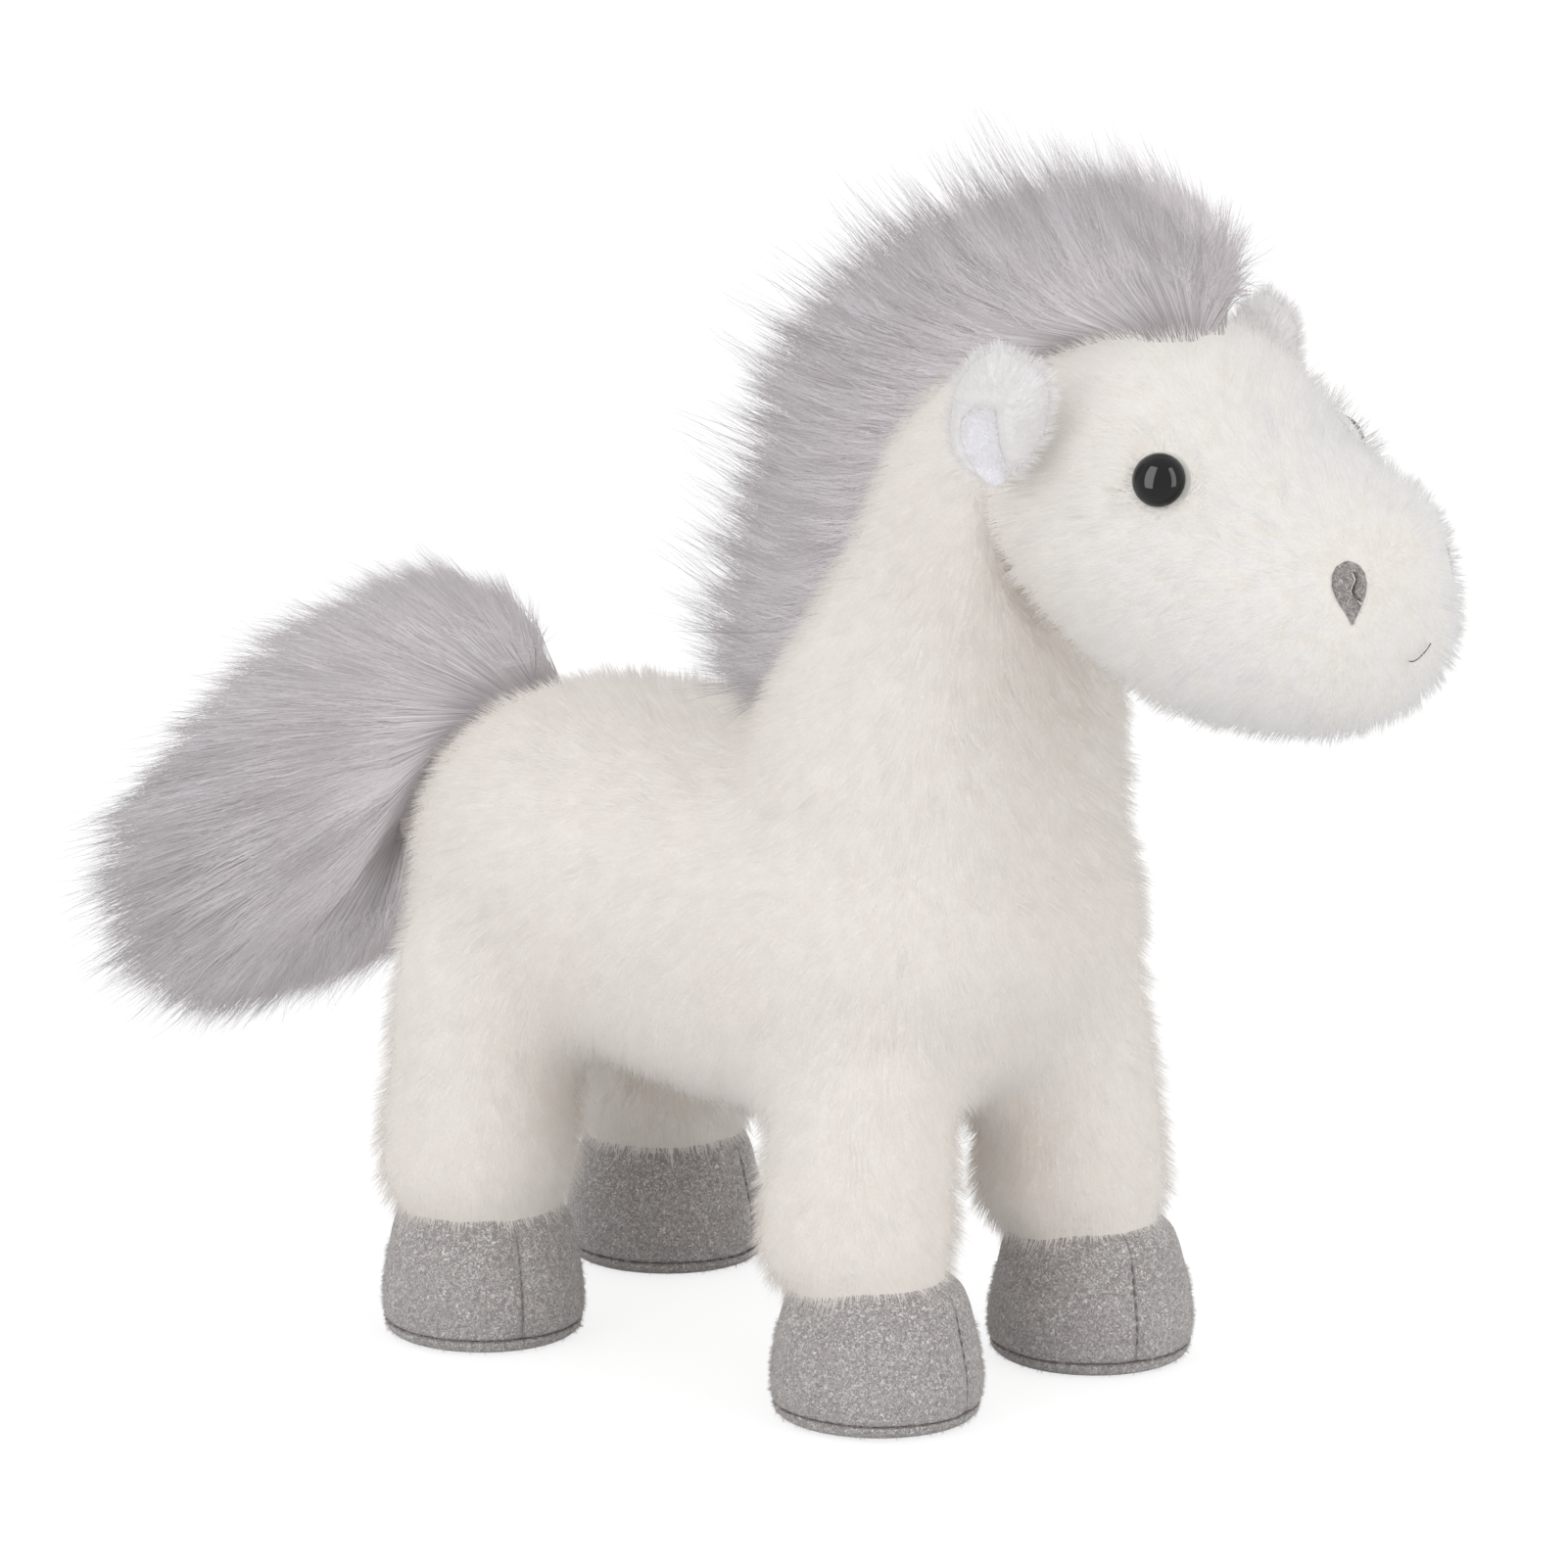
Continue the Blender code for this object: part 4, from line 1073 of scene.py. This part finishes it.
def asideFrom(points, seat, axis):
    # how far points are from a line through the seat, and a metre more for those on the head's other side
    offset = points - np.array(seat)
    off = np.outer(offset @ np.array(axis), np.array(axis))
    return np.linalg.norm(offset - off, axis=1) + (np.linalg.norm(offset, axis=1) > plush["otherSide"])


def hollowTint(hollow, place, other):
    # painted shade: the pile's colour turns warm where it closes in on itself, where shade and warm bounced
    # light would fall, but hardly along the join of head and neck
    low, span, most = plush["paintedShadeTint"]
    reach, least = plush["joinPaintedShade"]
    paintedShadeTint = np.clip((hollow - low) / span, 0, 1) ** 1.2 * most
    return paintedShadeTint * shortNear(distances(place, other, reach), reach, least)


def bridgeShade(hairs, place, other):
    # where two sewn forms meet, the pile closes over the seam and is lit as one surface
    reach, most = plush["joinShade"]
    for index, point in enumerate(place):
        near, normal, _, distance = other.find_nearest(point, reach)
        if near is not None:
            share = most * (1 - distance / reach)
            hairs["shade"][index] += (np.array(normal) - hairs["shade"][index]) * share
    hairs["shade"] = unit(hairs["shade"])


def clearOfMane(place, normal):
    # no white pile grows under the mane
    return outside(place + normal * plush["length"] * 0.6, maneTree, -1, plush["underMane"])


def growBodyPlush():
    rng = np.random.default_rng(11)
    hollows = findHollows(bodySkin, [bodyTree, headTree])
    place, normal, hollow = scatter(bodySkin, plush["density"], rng, hollows)
    kept = (place[:, 2] > skin["hemZ"] + plush["hemGap"]) & outside(place, headTree, 0.0)
    kept &= clearOfMane(place, normal)
    place, normal, hollow = place[kept], normal[kept], hollow[kept]
    sleeve = np.clip(1 - (place[:, 2] - skin["hemZ"]) / plush["sleeveReach"], 0, 1)
    length = plush["length"] * (1 - plush["sleeveTrim"] * sleeve)
    hairs = combPile(place, normal, combDirection(place, False), rng, length, plush)
    bridgeShade(hairs, place, headTree)
    hairs["hollow"] = hollowTint(hollow, place, headTree)
    zones = plushZones(place)
    for zone in sorted(set(zones)):
        growPile(f"pile_{zone}", subset(hairs, zones == zone), whitePile, "body")
        print("pile", zone, (zones == zone).sum())


headPile = {
    # reach, and the least length there
    "besideEar": (0.007, 0.45), "besideMouth": (0.0035, 0.72), "besideNeck": (0.010, 0.62),
    "muzzle": (0.150, 0.035), "muzzleTrim": 0.22,  # from which x, over what span, and how much shorter
    "eyeTrim": (0.0040, 0.40), "eyeRise": (0.0080, 0.25),  # reach, and least length or lean
    "farLonger": 0.25,
    "nostrilGap": {"left": 0.0004, "right": 0.0010}, "nostrilReach": 0.004, "overhang": 0.0018,
}


def growHeadPlush():
    rng = np.random.default_rng(12)
    trees = [bodyTree, headTree, *(meshTree(pad.data) for pad in earPads.values())]
    place, normal, hollow = scatter(headSkin, plush["density"], rng, findHollows(headSkin, trees))
    kept = outside(place, bodyTree, 0.0)
    for seat, axis in eyeSeats.values():
        kept &= asideFrom(place, seat, axis) > plush["bareEye"]
    ends = place + combDirection(place, True) * headPile["overhang"]
    for side, (_, patch) in nostrils.items():
        for spots in (place, ends):
            gaps = distances(spots, meshTree(patch.data), headPile["nostrilReach"])
            kept &= gaps > headPile["nostrilGap"][side]
    kept &= clearOfMane(place, normal)
    place, normal, hollow = place[kept], normal[kept], hollow[kept]

    muzzleFrom, muzzleSpan = headPile["muzzle"]
    forward = np.clip((place[:, 0] - muzzleFrom) / muzzleSpan, 0, 1)
    length = plush["length"] * (1 - headPile["muzzleTrim"] * forward)
    reach, least = headPile["besideEar"]
    for pad in earPads.values():
        length *= shortNear(distances(place, meshTree(pad.data), reach), reach, least)
    # the pile stands up round the eyes, longer round the left one and cut short round the right one
    away = {side: asideFrom(place, seat, axis) - plush["bareEye"] for side, (seat, axis) in eyeSeats.items()}
    (trimReach, trimLeast), (rise, leastLean) = headPile["eyeTrim"], headPile["eyeRise"]
    length *= np.clip(away["right"] / trimReach, trimLeast, 1)
    length *= 1 + headPile["farLonger"] * (1 - np.clip(away["left"] / rise, 0, 1))
    lean = plush["lean"] * np.clip(leastLean + np.minimum(away["left"], away["right"]) / rise, 0, 1)
    length *= shortNear(nearestOf(place, mouthSeats)[1], *headPile["besideMouth"])
    reach, least = headPile["besideNeck"]
    length *= shortNear(distances(place, bodyTree, reach), reach, least)

    hairs = combPile(place, normal, combDirection(place, True), rng, length, dict(plush, lean=lean))
    bridgeShade(hairs, place, bodyTree)
    hairs["hollow"] = hollowTint(hollow, place, bodyTree)
    over = np.zeros(len(place), bool)
    for seat, axis in eyeSeats.values():
        over |= asideFrom(hairs["tip"], seat, axis) < plush["bareEye"]
    hairs, place = subset(hairs, ~over), place[~over]
    for zone, mask in (("head_left", place[:, 1] > 0), ("head_right", place[:, 1] <= 0)):
        growPile(f"pile_{zone}", subset(hairs, mask), whitePile, "body")
        print("pile", zone, mask.sum())


earStyle = dict(plush, density=3.2e6, length=0.0038, width=0.00025, lean=44.0, tuftPull=0.10, tuftDrift=0.10)
hoofStyle = dict(plush, density=2.8e6, length=0.0013, width=0.00018, lean=55.0, sink=0.0002,
                 tuftShare=0.25, tuftPull=0.3, tuftDrift=0.9, strayDrift=0.5)
nostrilStyle = dict(plush, density=4.5e6, length=0.0012, width=0.00017, lean=62.0, sink=0.0001,
                    tuftPull=0.5, tuftDrift=0.9, strayDrift=0.4)


def growEarPlush(side):
    rng = np.random.default_rng(13)
    base, across, away, rise = (np.array(vector) for vector in earAxes(side))
    place, normal = scatter(earPads[side], earStyle["density"], rng)
    local = place - base
    reach = local @ across / mm
    height = np.clip(local @ rise / ear["rise"], 0, 1)
    lining = np.array([liningShare(*pair) for pair in zip(reach, height)])
    kept = ~((local @ away > 0) & (lining > ear["bareLining"]))
    place, normal = place[kept], normal[kept]
    comb = np.tile(rise * 0.8 + away * 0.2, (len(place), 1))
    comb += across * (reach[kept] / ear["fan"])[:, None]
    hairs = combPile(place, normal, comb, rng, np.full(len(place), earStyle["length"]), earStyle)
    growPile(f"pile_ear_{side}", hairs, earPile, f"ear_{side}")
    print("pile ear", side, len(place))


def growHoofNap(place):
    # the suede's short nap, which softens the hoof's edge
    rng = np.random.default_rng(14)
    back = np.array(hoofFrame(place).inverted())
    parts = []
    for piece in hoofPieces[place]:
        spot, normal = scatter(piece, hoofStyle["density"], rng)
        local = spot @ back[:3, :3].T + back[:3, 3]
        low, high = hoof["napHeights"]
        kept = (spot[:, 2] > low) & (spot[:, 2] < high)
        kept &= abs(spot[:, 2] - hoof["soleLine"]) > hoof["bareSeam"]
        if "underside" not in piece.name:
            kept &= abs(local[:, 1]) > hoof["bareSeam"]
        parts.append((spot[kept], normal[kept]))
    spot, normal = (np.concatenate(rows) for rows in zip(*parts))
    comb = np.tile([0.0, 0.0, -0.6], (len(spot), 1))
    hairs = combPile(spot, normal, comb, rng, np.full(len(spot), hoofStyle["length"]), hoofStyle)
    growPile(f"hoof_{place}_nap", hairs, suedeNap, "body")
    print("nap", place, len(spot))


def growNostrilNap(side):
    rng = np.random.default_rng(15)
    centre, patch = nostrils[side]
    spot, normal = scatter(patch, nostrilStyle["density"], rng)
    _, away, _, _ = headTree.find_nearest(centre)
    creases = np.empty(len(patch.data.vertices), np.float32)
    patch.data.attributes["seam"].data.foreach_get("value", creases)
    member = nearestOf(spot, meshPoints(patch.data))[0]
    kept = (creases[member] < nostril["bareCrease"]) & (normal @ np.array(away) > 0.1)
    spot, normal = spot[kept], normal[kept]
    comb = np.tile([0.2, 0.0, -0.6], (len(spot), 1))
    hairs = combPile(spot, normal, comb, rng, np.full(len(spot), nostrilStyle["length"]), nostrilStyle)
    growPile(f"nostril_{side}_nap", hairs, suedeNap, "body")
    print("nap nostril", side, len(spot))


growBodyPlush()
growHeadPlush()
for side in sideNames:
    growEarPlush(side)
    growNostrilNap(side)
for hoofPlace in hoofPlaces:
    growHoofNap(hoofPlace)
print("white plush ready")


# Mane and tail: guide hairs in side view, from one end of the root line to the other, as root,
# bend and tip, in millimetres of x and z

maneGuides = (
    ((33, 163), (19, 155), (4, 153)),
    ((41, 174), (26, 159), (1, 166)),
    ((49, 188), (34, 171), (0, 182)),
    ((56, 203), (41, 187), (6, 199)),
    ((63, 216), (47, 204), (10, 215)),
    ((71, 228), (52, 221), (15, 234)),
    ((84, 240), (61, 237), (27, 251)),
    ((99, 247), (75, 246), (46, 267)),
    ((110, 251), (90, 254), (68, 277)),
    ((118, 253), (103, 260), (87, 280)),
    ((124, 254), (113, 265), (101, 284)),
    ((128, 255), (121, 269), (112, 283)),
    ((131, 255), (127, 270), (122, 279)),
    ((133, 255), (132, 268), (131, 273)),
    ((134, 254), (138, 262), (139, 266)),
)
tailGuides = (
    ((-61, 152), (-60, 157), (-65, 159)),
    ((-64, 152), (-66, 160), (-75, 164)),
    ((-68, 151), (-74, 162), (-89, 168)),
    ((-71, 149), (-83, 163), (-103, 168)),
    ((-75, 147), (-93, 158), (-121, 160)),
    ((-79, 144), (-102, 150), (-142, 147)),
    ((-82, 141), (-108, 142), (-157, 130)),
    ((-85, 138), (-112, 132), (-172, 113)),
    ((-88, 134), (-114, 122), (-185, 99)),
    ((-91, 130), (-115, 112), (-189, 81)),
    ((-94, 126), (-114, 103), (-184, 64)),
    ((-96, 122), (-113, 96), (-170, 56)),
    ((-98, 117), (-111, 90), (-155, 54)),
    ((-100, 112), (-108, 86), (-138, 63)),
    ((-102, 106), (-107, 84), (-124, 70)),
    ((-104, 98), (-107, 84), (-114, 77)),
)
maneStyle = {
    "node": "mane", "body": "body", "seed": 21, "guides": maneGuides, "count": 39000, "length": 0.036,
    # along a guide
    "halfWidths": ((0, 0.0165), (0.35, 0.0205), (0.75, 0.0180), (1.0, 0.0120), (1.4, 0.0110)),
    "stationWidths": ((0, 0.8), (0.12, 1), (0.72, 1), (0.88, 0.62), (1, 0.32)),  # from guide to guide
    "squareness": (3.2, 3.2),  # of the brush's two ends
    "sway": 0.0,  # how far the tips hang to one side
    "wrap": 0.003,  # how far the roots at the sides lie forward
    "rootDepth": 0.006, "core": 0.0105, "roundness": 0.050,
    "longHub": True,  # lit as a long ridge, and not as one tuft
}
tailStyle = {
    "node": "tail", "body": "tail", "seed": 22, "guides": tailGuides, "count": 39000, "length": 0.040,
    "halfWidths": ((0, 0.0230), (0.25, 0.0310), (0.55, 0.0345), (0.85, 0.0280), (1.0, 0.0180), (1.4, 0.0150)),
    "stationWidths": ((0, 0.10), (0.07, 0.20), (0.14, 0.36), (0.3, 0.74), (0.45, 1), (1, 1)),
    "squareness": (2.2, 4.5), "sway": -0.003, "wrap": 0.020,
    "rootDepth": 0.006, "core": 0.0120, "roundness": 0.070, "longHub": False,
}
locks = {
    "width": 0.00029, "fullness": 2.2, "ownShade": 0.50,
    "lockShare": 0.040,  # locks per hair
    "lockPull": 0.48, "bendPull": 0.3, "lockDrift": 0.0013, "lockReach": 0.0020,
    "surfaceShare": 0.50, "surfaceDepth": 0.25,  # how many hairs lie near the surface, and how near
    "endShare": 0.32, "footShare": 0.18, "footReach": 0.08, "endSpread": 0.16,
    "rootShare": 0.74, "middleShare": 0.98,  # how far out roots and middles stand, per tip
    "strayShare": 0.16, "strayReach": 0.018, "frizz": 0.0019, "strayFrizz": 0.0030,
    "looseEnds": (0.30, 0.17), "looseness": 2.2,
    "lift": 0.0048,  # how far tips rise off the side of the brush
    "crest": 0.04,  # how far the middle hairs stand above those at the sides
    "guardShare": 0.12, "guardLot": 1.6, "fineShare": 0.6,  # pale, finer hairs
    "tones": (0.55, 0.45, 0.08), "shadeTurns": (0.16, 0.10),  # of a whole lock, of a hair, and by chance
    "hubShare": 0.35, "sideSwell": 0.8, "topSwell": 0.30,
    "coreVoxel": 0.003,
    "backLimit": -0.2145, "topLimit": 0.3062,  # the room that the object's box leaves behind and above
}


def guideTable(style):
    # the guides in metres, their roots drawn back under the white pile
    table = np.array(style["guides"]) * mm
    table[:, 0] -= unit(table[:, 1] - table[:, 0]) * style["rootDepth"]
    return table


def guideCurve(table, station, share):
    # where the guide at a station (0 to 1) is at a share (0 to 1) of its length, as x and z
    rows = np.linspace(0, 1, len(table))
    root, bend, tip = ([np.interp(station, rows, table[:, k, axis]) for axis in (0, 1)] for k in range(3))
    return [(1 - share) ** 2 * root[a] + 2 * share * (1 - share) * bend[a] + share ** 2 * tip[a]
            for a in (0, 1)]


def guideLength(table, station):
    points = [np.stack(guideCurve(table, station, step), axis=-1) for step in np.linspace(0, 1, 9)]
    return sum(np.linalg.norm(b - a, axis=-1) for a, b in zip(points, points[1:]))


def gatherLocks(hairs, rng):
    # draws the tips of neighbouring hairs together into tapering locks
    count = len(hairs["tip"])
    middles = (hairs["root"] + hairs["tip"]) / 2
    seeds = rng.choice(count, int(count * locks["lockShare"]), replace=False)
    member = nearestOf(middles, middles[seeds])[0]
    own = locks["lockPull"] * (0.3 + 0.7 * rng.random(count))[:, None]
    drift = rng.normal(0, locks["lockDrift"], (len(seeds), 3))
    reach = rng.normal(0, locks["lockReach"], len(seeds))
    drift += unit(hairs["tip"] - hairs["bend"])[seeds] * reach[:, None]
    for key, pull in (("tip", 1.0), ("bend", locks["bendPull"])):
        centre = hairs[key][seeds][member]
        hairs[key] = hairs[key] + (centre - hairs[key]) * own * pull + drift[member] * pull
    hairs["tip"][:, 0] = np.maximum(hairs["tip"][:, 0], locks["backLimit"])
    hairs["tip"][:, 2] = np.minimum(hairs["tip"][:, 2], locks["topLimit"])
    lockTone, ownTone, toneSpread = locks["tones"]
    hairs["lot"] = np.clip(lockTone * rng.random(len(seeds))[member] + ownTone * hairs["lot"]
                           + rng.normal(0, toneSpread, count), 0, 1)
    lockTurn, ownTurn = locks["shadeTurns"]
    hairs["shade"] = unit(hairs["shade"] + rng.normal(0, lockTurn, (len(seeds), 3))[member]
                          + rng.normal(0, ownTurn, (count, 3)))
    return hairs


def brushHairs(style, rng):
    # hairs all through a brush, denser towards its surface
    count, table = style["count"], guideTable(style)
    shares, widths = zip(*style["halfWidths"])
    ends, factors = zip(*style["stationWidths"])

    def place(station, share, lateral):
        x, z = guideCurve(table, station, share)
        reach = np.interp(share, shares, widths) * np.interp(station, ends, factors)
        x = x + style["wrap"] * (lateral * (1 - share)) ** 2
        return np.stack([x, lateral * reach + style["sway"] * share, z], axis=-1)

    # where each hair stands: along the root line, and from the middle of the brush to its side
    station = rng.random(count)
    square = np.where(station < 0.5, *style["squareness"])
    edge = (1 - abs(2 * station - 1) ** square) ** (1 / square)
    surface = rng.random(count) < locks["surfaceShare"]
    depth = np.where(surface, 1 - locks["surfaceDepth"] * rng.random(count) ** 1.3, rng.random(count))
    lateral = edge * depth * np.where(rng.random(count) < 0.5, 1, -1)

    # which stretch of its guide it covers: many reach the brush's end, and some start at its foot
    whole = guideLength(table, station)
    part = np.clip(style["length"] * (0.8 + 0.4 * rng.random(count)) / whole, 0, 1)
    start = rng.random(count) * (1 - part)
    start = np.where((rng.random(count) < locks["endShare"]) | ~surface, 1 - part, start)
    start = np.where(rng.random(count) < locks["footShare"],
                     locks["footReach"] * rng.random(count) * (1 - part), start)

    # the rows at either end of the brush stand looser than the rest
    looseFrom, looseSpan = locks["looseEnds"]
    loose = 1 + locks["looseness"] * np.clip((abs(station - 0.5) - looseFrom) / looseSpan, 0, 1) ** 1.5
    stray = rng.random(count) < locks["strayShare"] * loose
    end = start + part * (1 - locks["endSpread"] * rng.random(count) ** 2)
    end = end + locks["crest"] * (1 - lateral ** 2) * (start > 0.99 - part)
    end = np.where(stray, end + locks["strayReach"] * rng.random(count) / whole, end)
    root = place(station, start, lateral * locks["rootShare"])
    tip = place(station, end, lateral)
    tip[:, 1] += np.sign(lateral) * locks["lift"] * rng.random(count) * abs(lateral)
    between = place(station, (start + end) / 2, lateral * locks["middleShare"])
    frizz = np.where(stray, locks["strayFrizz"], locks["frizz"]) * loose ** 0.6
    tip += rng.normal(0, 1, tip.shape) * frizz[:, None]
    tip[:, 0] = np.maximum(tip[:, 0], locks["backLimit"])
    bend = 2 * between - (root + tip) / 2 + rng.normal(0, locks["frizz"], tip.shape)

    # the brush is lit as one rounded form about a hub inside it
    along = station if style["longHub"] else 0.5 + 0 * station
    hub = np.stack(guideCurve(table, along, locks["hubShare"]), axis=-1)
    outward = (tip[:, ::2] - hub) / style["roundness"]
    outward *= (0.12 + 0.88 * np.clip((end - 0.4) / 0.5, 0, 1) ** 1.5)[:, None]
    sideways, upward = lateral * locks["sideSwell"], outward[:, 1] + locks["topSwell"]
    swell = unit(np.stack([outward[:, 0], sideways, upward], axis=-1) + 1e-6)
    guard = rng.random(count) < locks["guardShare"]
    width = locks["width"] * (0.7 + 0.6 * rng.random(count)) * np.where(stray | guard, locks["fineShare"], 1)
    return {
        "root": root, "bend": bend, "tip": tip, "normal": swell, "shade": swell, "lateral": lateral,
        "width": width,
        "lot": np.where(guard, locks["guardLot"], rng.random(count)),
    }


def addCore(style):
    # the backing under the long pile, well inside it
    name = f"{style['node']}_core"
    piece = linkObject(name, copySolids(name, [style["node"]], -style["core"]), lilacBacking)
    remesh(piece, locks["coreVoxel"])
    piece.data.shade_smooth()
    placePiece(piece, style["body"], [style["node"]])


def growBrush(style):
    rng = np.random.default_rng(style["seed"])
    addCore(style)
    hairs = gatherLocks(brushHairs(style, rng), rng)
    order = np.argsort(hairs.pop("lateral"))
    count = style["count"]
    for part, label in enumerate(("right", "middle", "left")):
        mask = np.zeros(count, bool)
        mask[order[part * count // 3:(part + 1) * count // 3]] = True
        piece = growHairs(f"{style['node']}_hair_{label}", subset(hairs, mask), 1, locks["fullness"],
                          lilacPile, locks["ownShade"], 1.0)
        placePiece(piece, style["body"])


for brushStyle in (maneStyle, tailStyle):
    growBrush(brushStyle)
print("mane and tail ready")


# Stage

stage = {
    "azimuth": 39.0, "elevation": 12.5, "distance": 2.0, "target": (0.0138, 0.0, 0.1333),
    "pixelsPerMetre": 4400.0, "frameWidth": 1601, "sensor": 36.0,
    "worldLevel": 1.0, "floorGlow": 0.80, "floorPaper": 0.25, "floorSize": 8.0,
    # azimuth, elevation, distance, width and height of each lamp, and then its level or brightness
    "softboxes": {
        "softbox left": (-4, 14, 1.4, 0.55, 2.2, 0.22),
        "softbox right": (84, 14, 1.4, 0.55, 2.2, 0.22),
    },
    "cards": {"card left": (-4, 14, 1.2, 0.60, 2.2, 5.2), "card right": (84, 14, 1.2, 0.46, 2.0, 4.4)},
}


def spherical(azimuth, elevation):
    a, e = math.radians(azimuth), math.radians(elevation)
    return Vector((math.sin(a) * math.cos(e), -math.cos(a) * math.cos(e), math.sin(e)))


def addCamera():
    data = bpy.data.cameras.new("camera")
    camera = bpy.data.objects.new("camera", data)
    scene.collection.objects.link(camera)
    back = spherical(stage["azimuth"], stage["elevation"])
    camera.location = Vector(stage["target"]) + back * stage["distance"]
    camera.rotation_euler = back.to_track_quat("Z", "Y").to_euler()
    data.sensor_width = stage["sensor"]
    data.lens = stage["pixelsPerMetre"] * stage["distance"] / stage["frameWidth"] * stage["sensor"]
    data.clip_end = 50.0
    scene.camera = camera


def addSoftbox(name, azimuth, elevation, distance, width, height, level):
    # level is the brightness that the box alone gives a facing white card
    data = bpy.data.lights.new(name, "AREA")
    data.shape = "RECTANGLE"
    data.size, data.size_y = width, height
    data.energy = level * math.pi ** 2 * distance ** 2
    lamp = bpy.data.objects.new(name, data)
    scene.collection.objects.link(lamp)
    away = spherical(azimuth, elevation)
    lamp.location = Vector(stage["target"]) + away * distance
    lamp.rotation_euler = away.to_track_quat("Z", "Y").to_euler()
    return lamp


def addCard(name, azimuth, elevation, distance, width, height, brightness):
    # a bright card that only shows as a highlight in polished pieces
    card = addSoftbox(name, azimuth, elevation, distance, width, height, 1.0)
    card.data.energy = brightness * math.pi * width * height
    card.visible_diffuse = False


def backgroundRays(tree):
    # 1 for rays that should see the white background
    path = addNode(tree, "ShaderNodeLightPath")
    first = addNode(tree, "ShaderNodeMath", {"operation": "MAXIMUM"}, {
        0: path.outputs["Is Camera Ray"], 1: path.outputs["Is Glossy Ray"]})
    return addNode(tree, "ShaderNodeMath", {"operation": "MAXIMUM"}, {
        0: first.outputs[0], 1: path.outputs["Is Transmission Ray"]}).outputs[0]


def addWorld(level):
    world = bpy.data.worlds.new("white studio")
    world.use_nodes = True
    scene.world = world
    tree = world.node_tree
    lit = tree.nodes["Background"]
    lit.inputs["Color"].default_value = (1, 1, 1, 1)
    lit.inputs["Strength"].default_value = level
    white = addNode(tree, "ShaderNodeBackground", {}, {"Color": (1, 1, 1, 1), "Strength": 1.0})
    mixer = addNode(tree, "ShaderNodeMixShader", {}, {
        0: backgroundRays(tree), 1: lit.outputs[0], 2: white.outputs[0]})
    tree.links.new(mixer.outputs[0], tree.nodes["World Output"].inputs["Surface"])


def addFloor():
    # white paper that keeps the object's shadow and glows a little where the camera sees it
    mesh = bpy.data.meshes.new("floor")
    bm = bmesh.new()
    bmesh.ops.create_grid(bm, x_segments=1, y_segments=1, size=stage["floorSize"])
    closeMesh(bm, mesh)
    material, tree, shader = newMaterial("matt white studio paper", Roughness=0.9)
    shader.inputs["Base Color"].default_value = hexColour("#E8E8E8")
    glow = addNode(tree, "ShaderNodeEmission", {}, {"Color": (1, 1, 1, 1), "Strength": stage["floorGlow"]})
    paper = addNode(tree, "ShaderNodeBsdfDiffuse", {}, {"Color": (*3 * (stage["floorPaper"],), 1)})
    seen = addNode(tree, "ShaderNodeAddShader", {}, {0: glow.outputs[0], 1: paper.outputs[0]})
    mixer = addNode(tree, "ShaderNodeMixShader", {}, {
        0: backgroundRays(tree), 1: shader.outputs[0], 2: seen.outputs[0]})
    tree.links.new(mixer.outputs[0], tree.nodes["Material Output"].inputs["Surface"])
    floor = linkObject("floor", mesh, material)
    floor.location.z = -0.0002


addCamera()
addWorld(stage["worldLevel"])
for name, values in stage["softboxes"].items():
    addSoftbox(name, *values).visible_glossy = False
for name, values in stage["cards"].items():
    addCard(name, *values)
addFloor()
scene.view_settings.view_transform = "Standard"
print("stage ready")
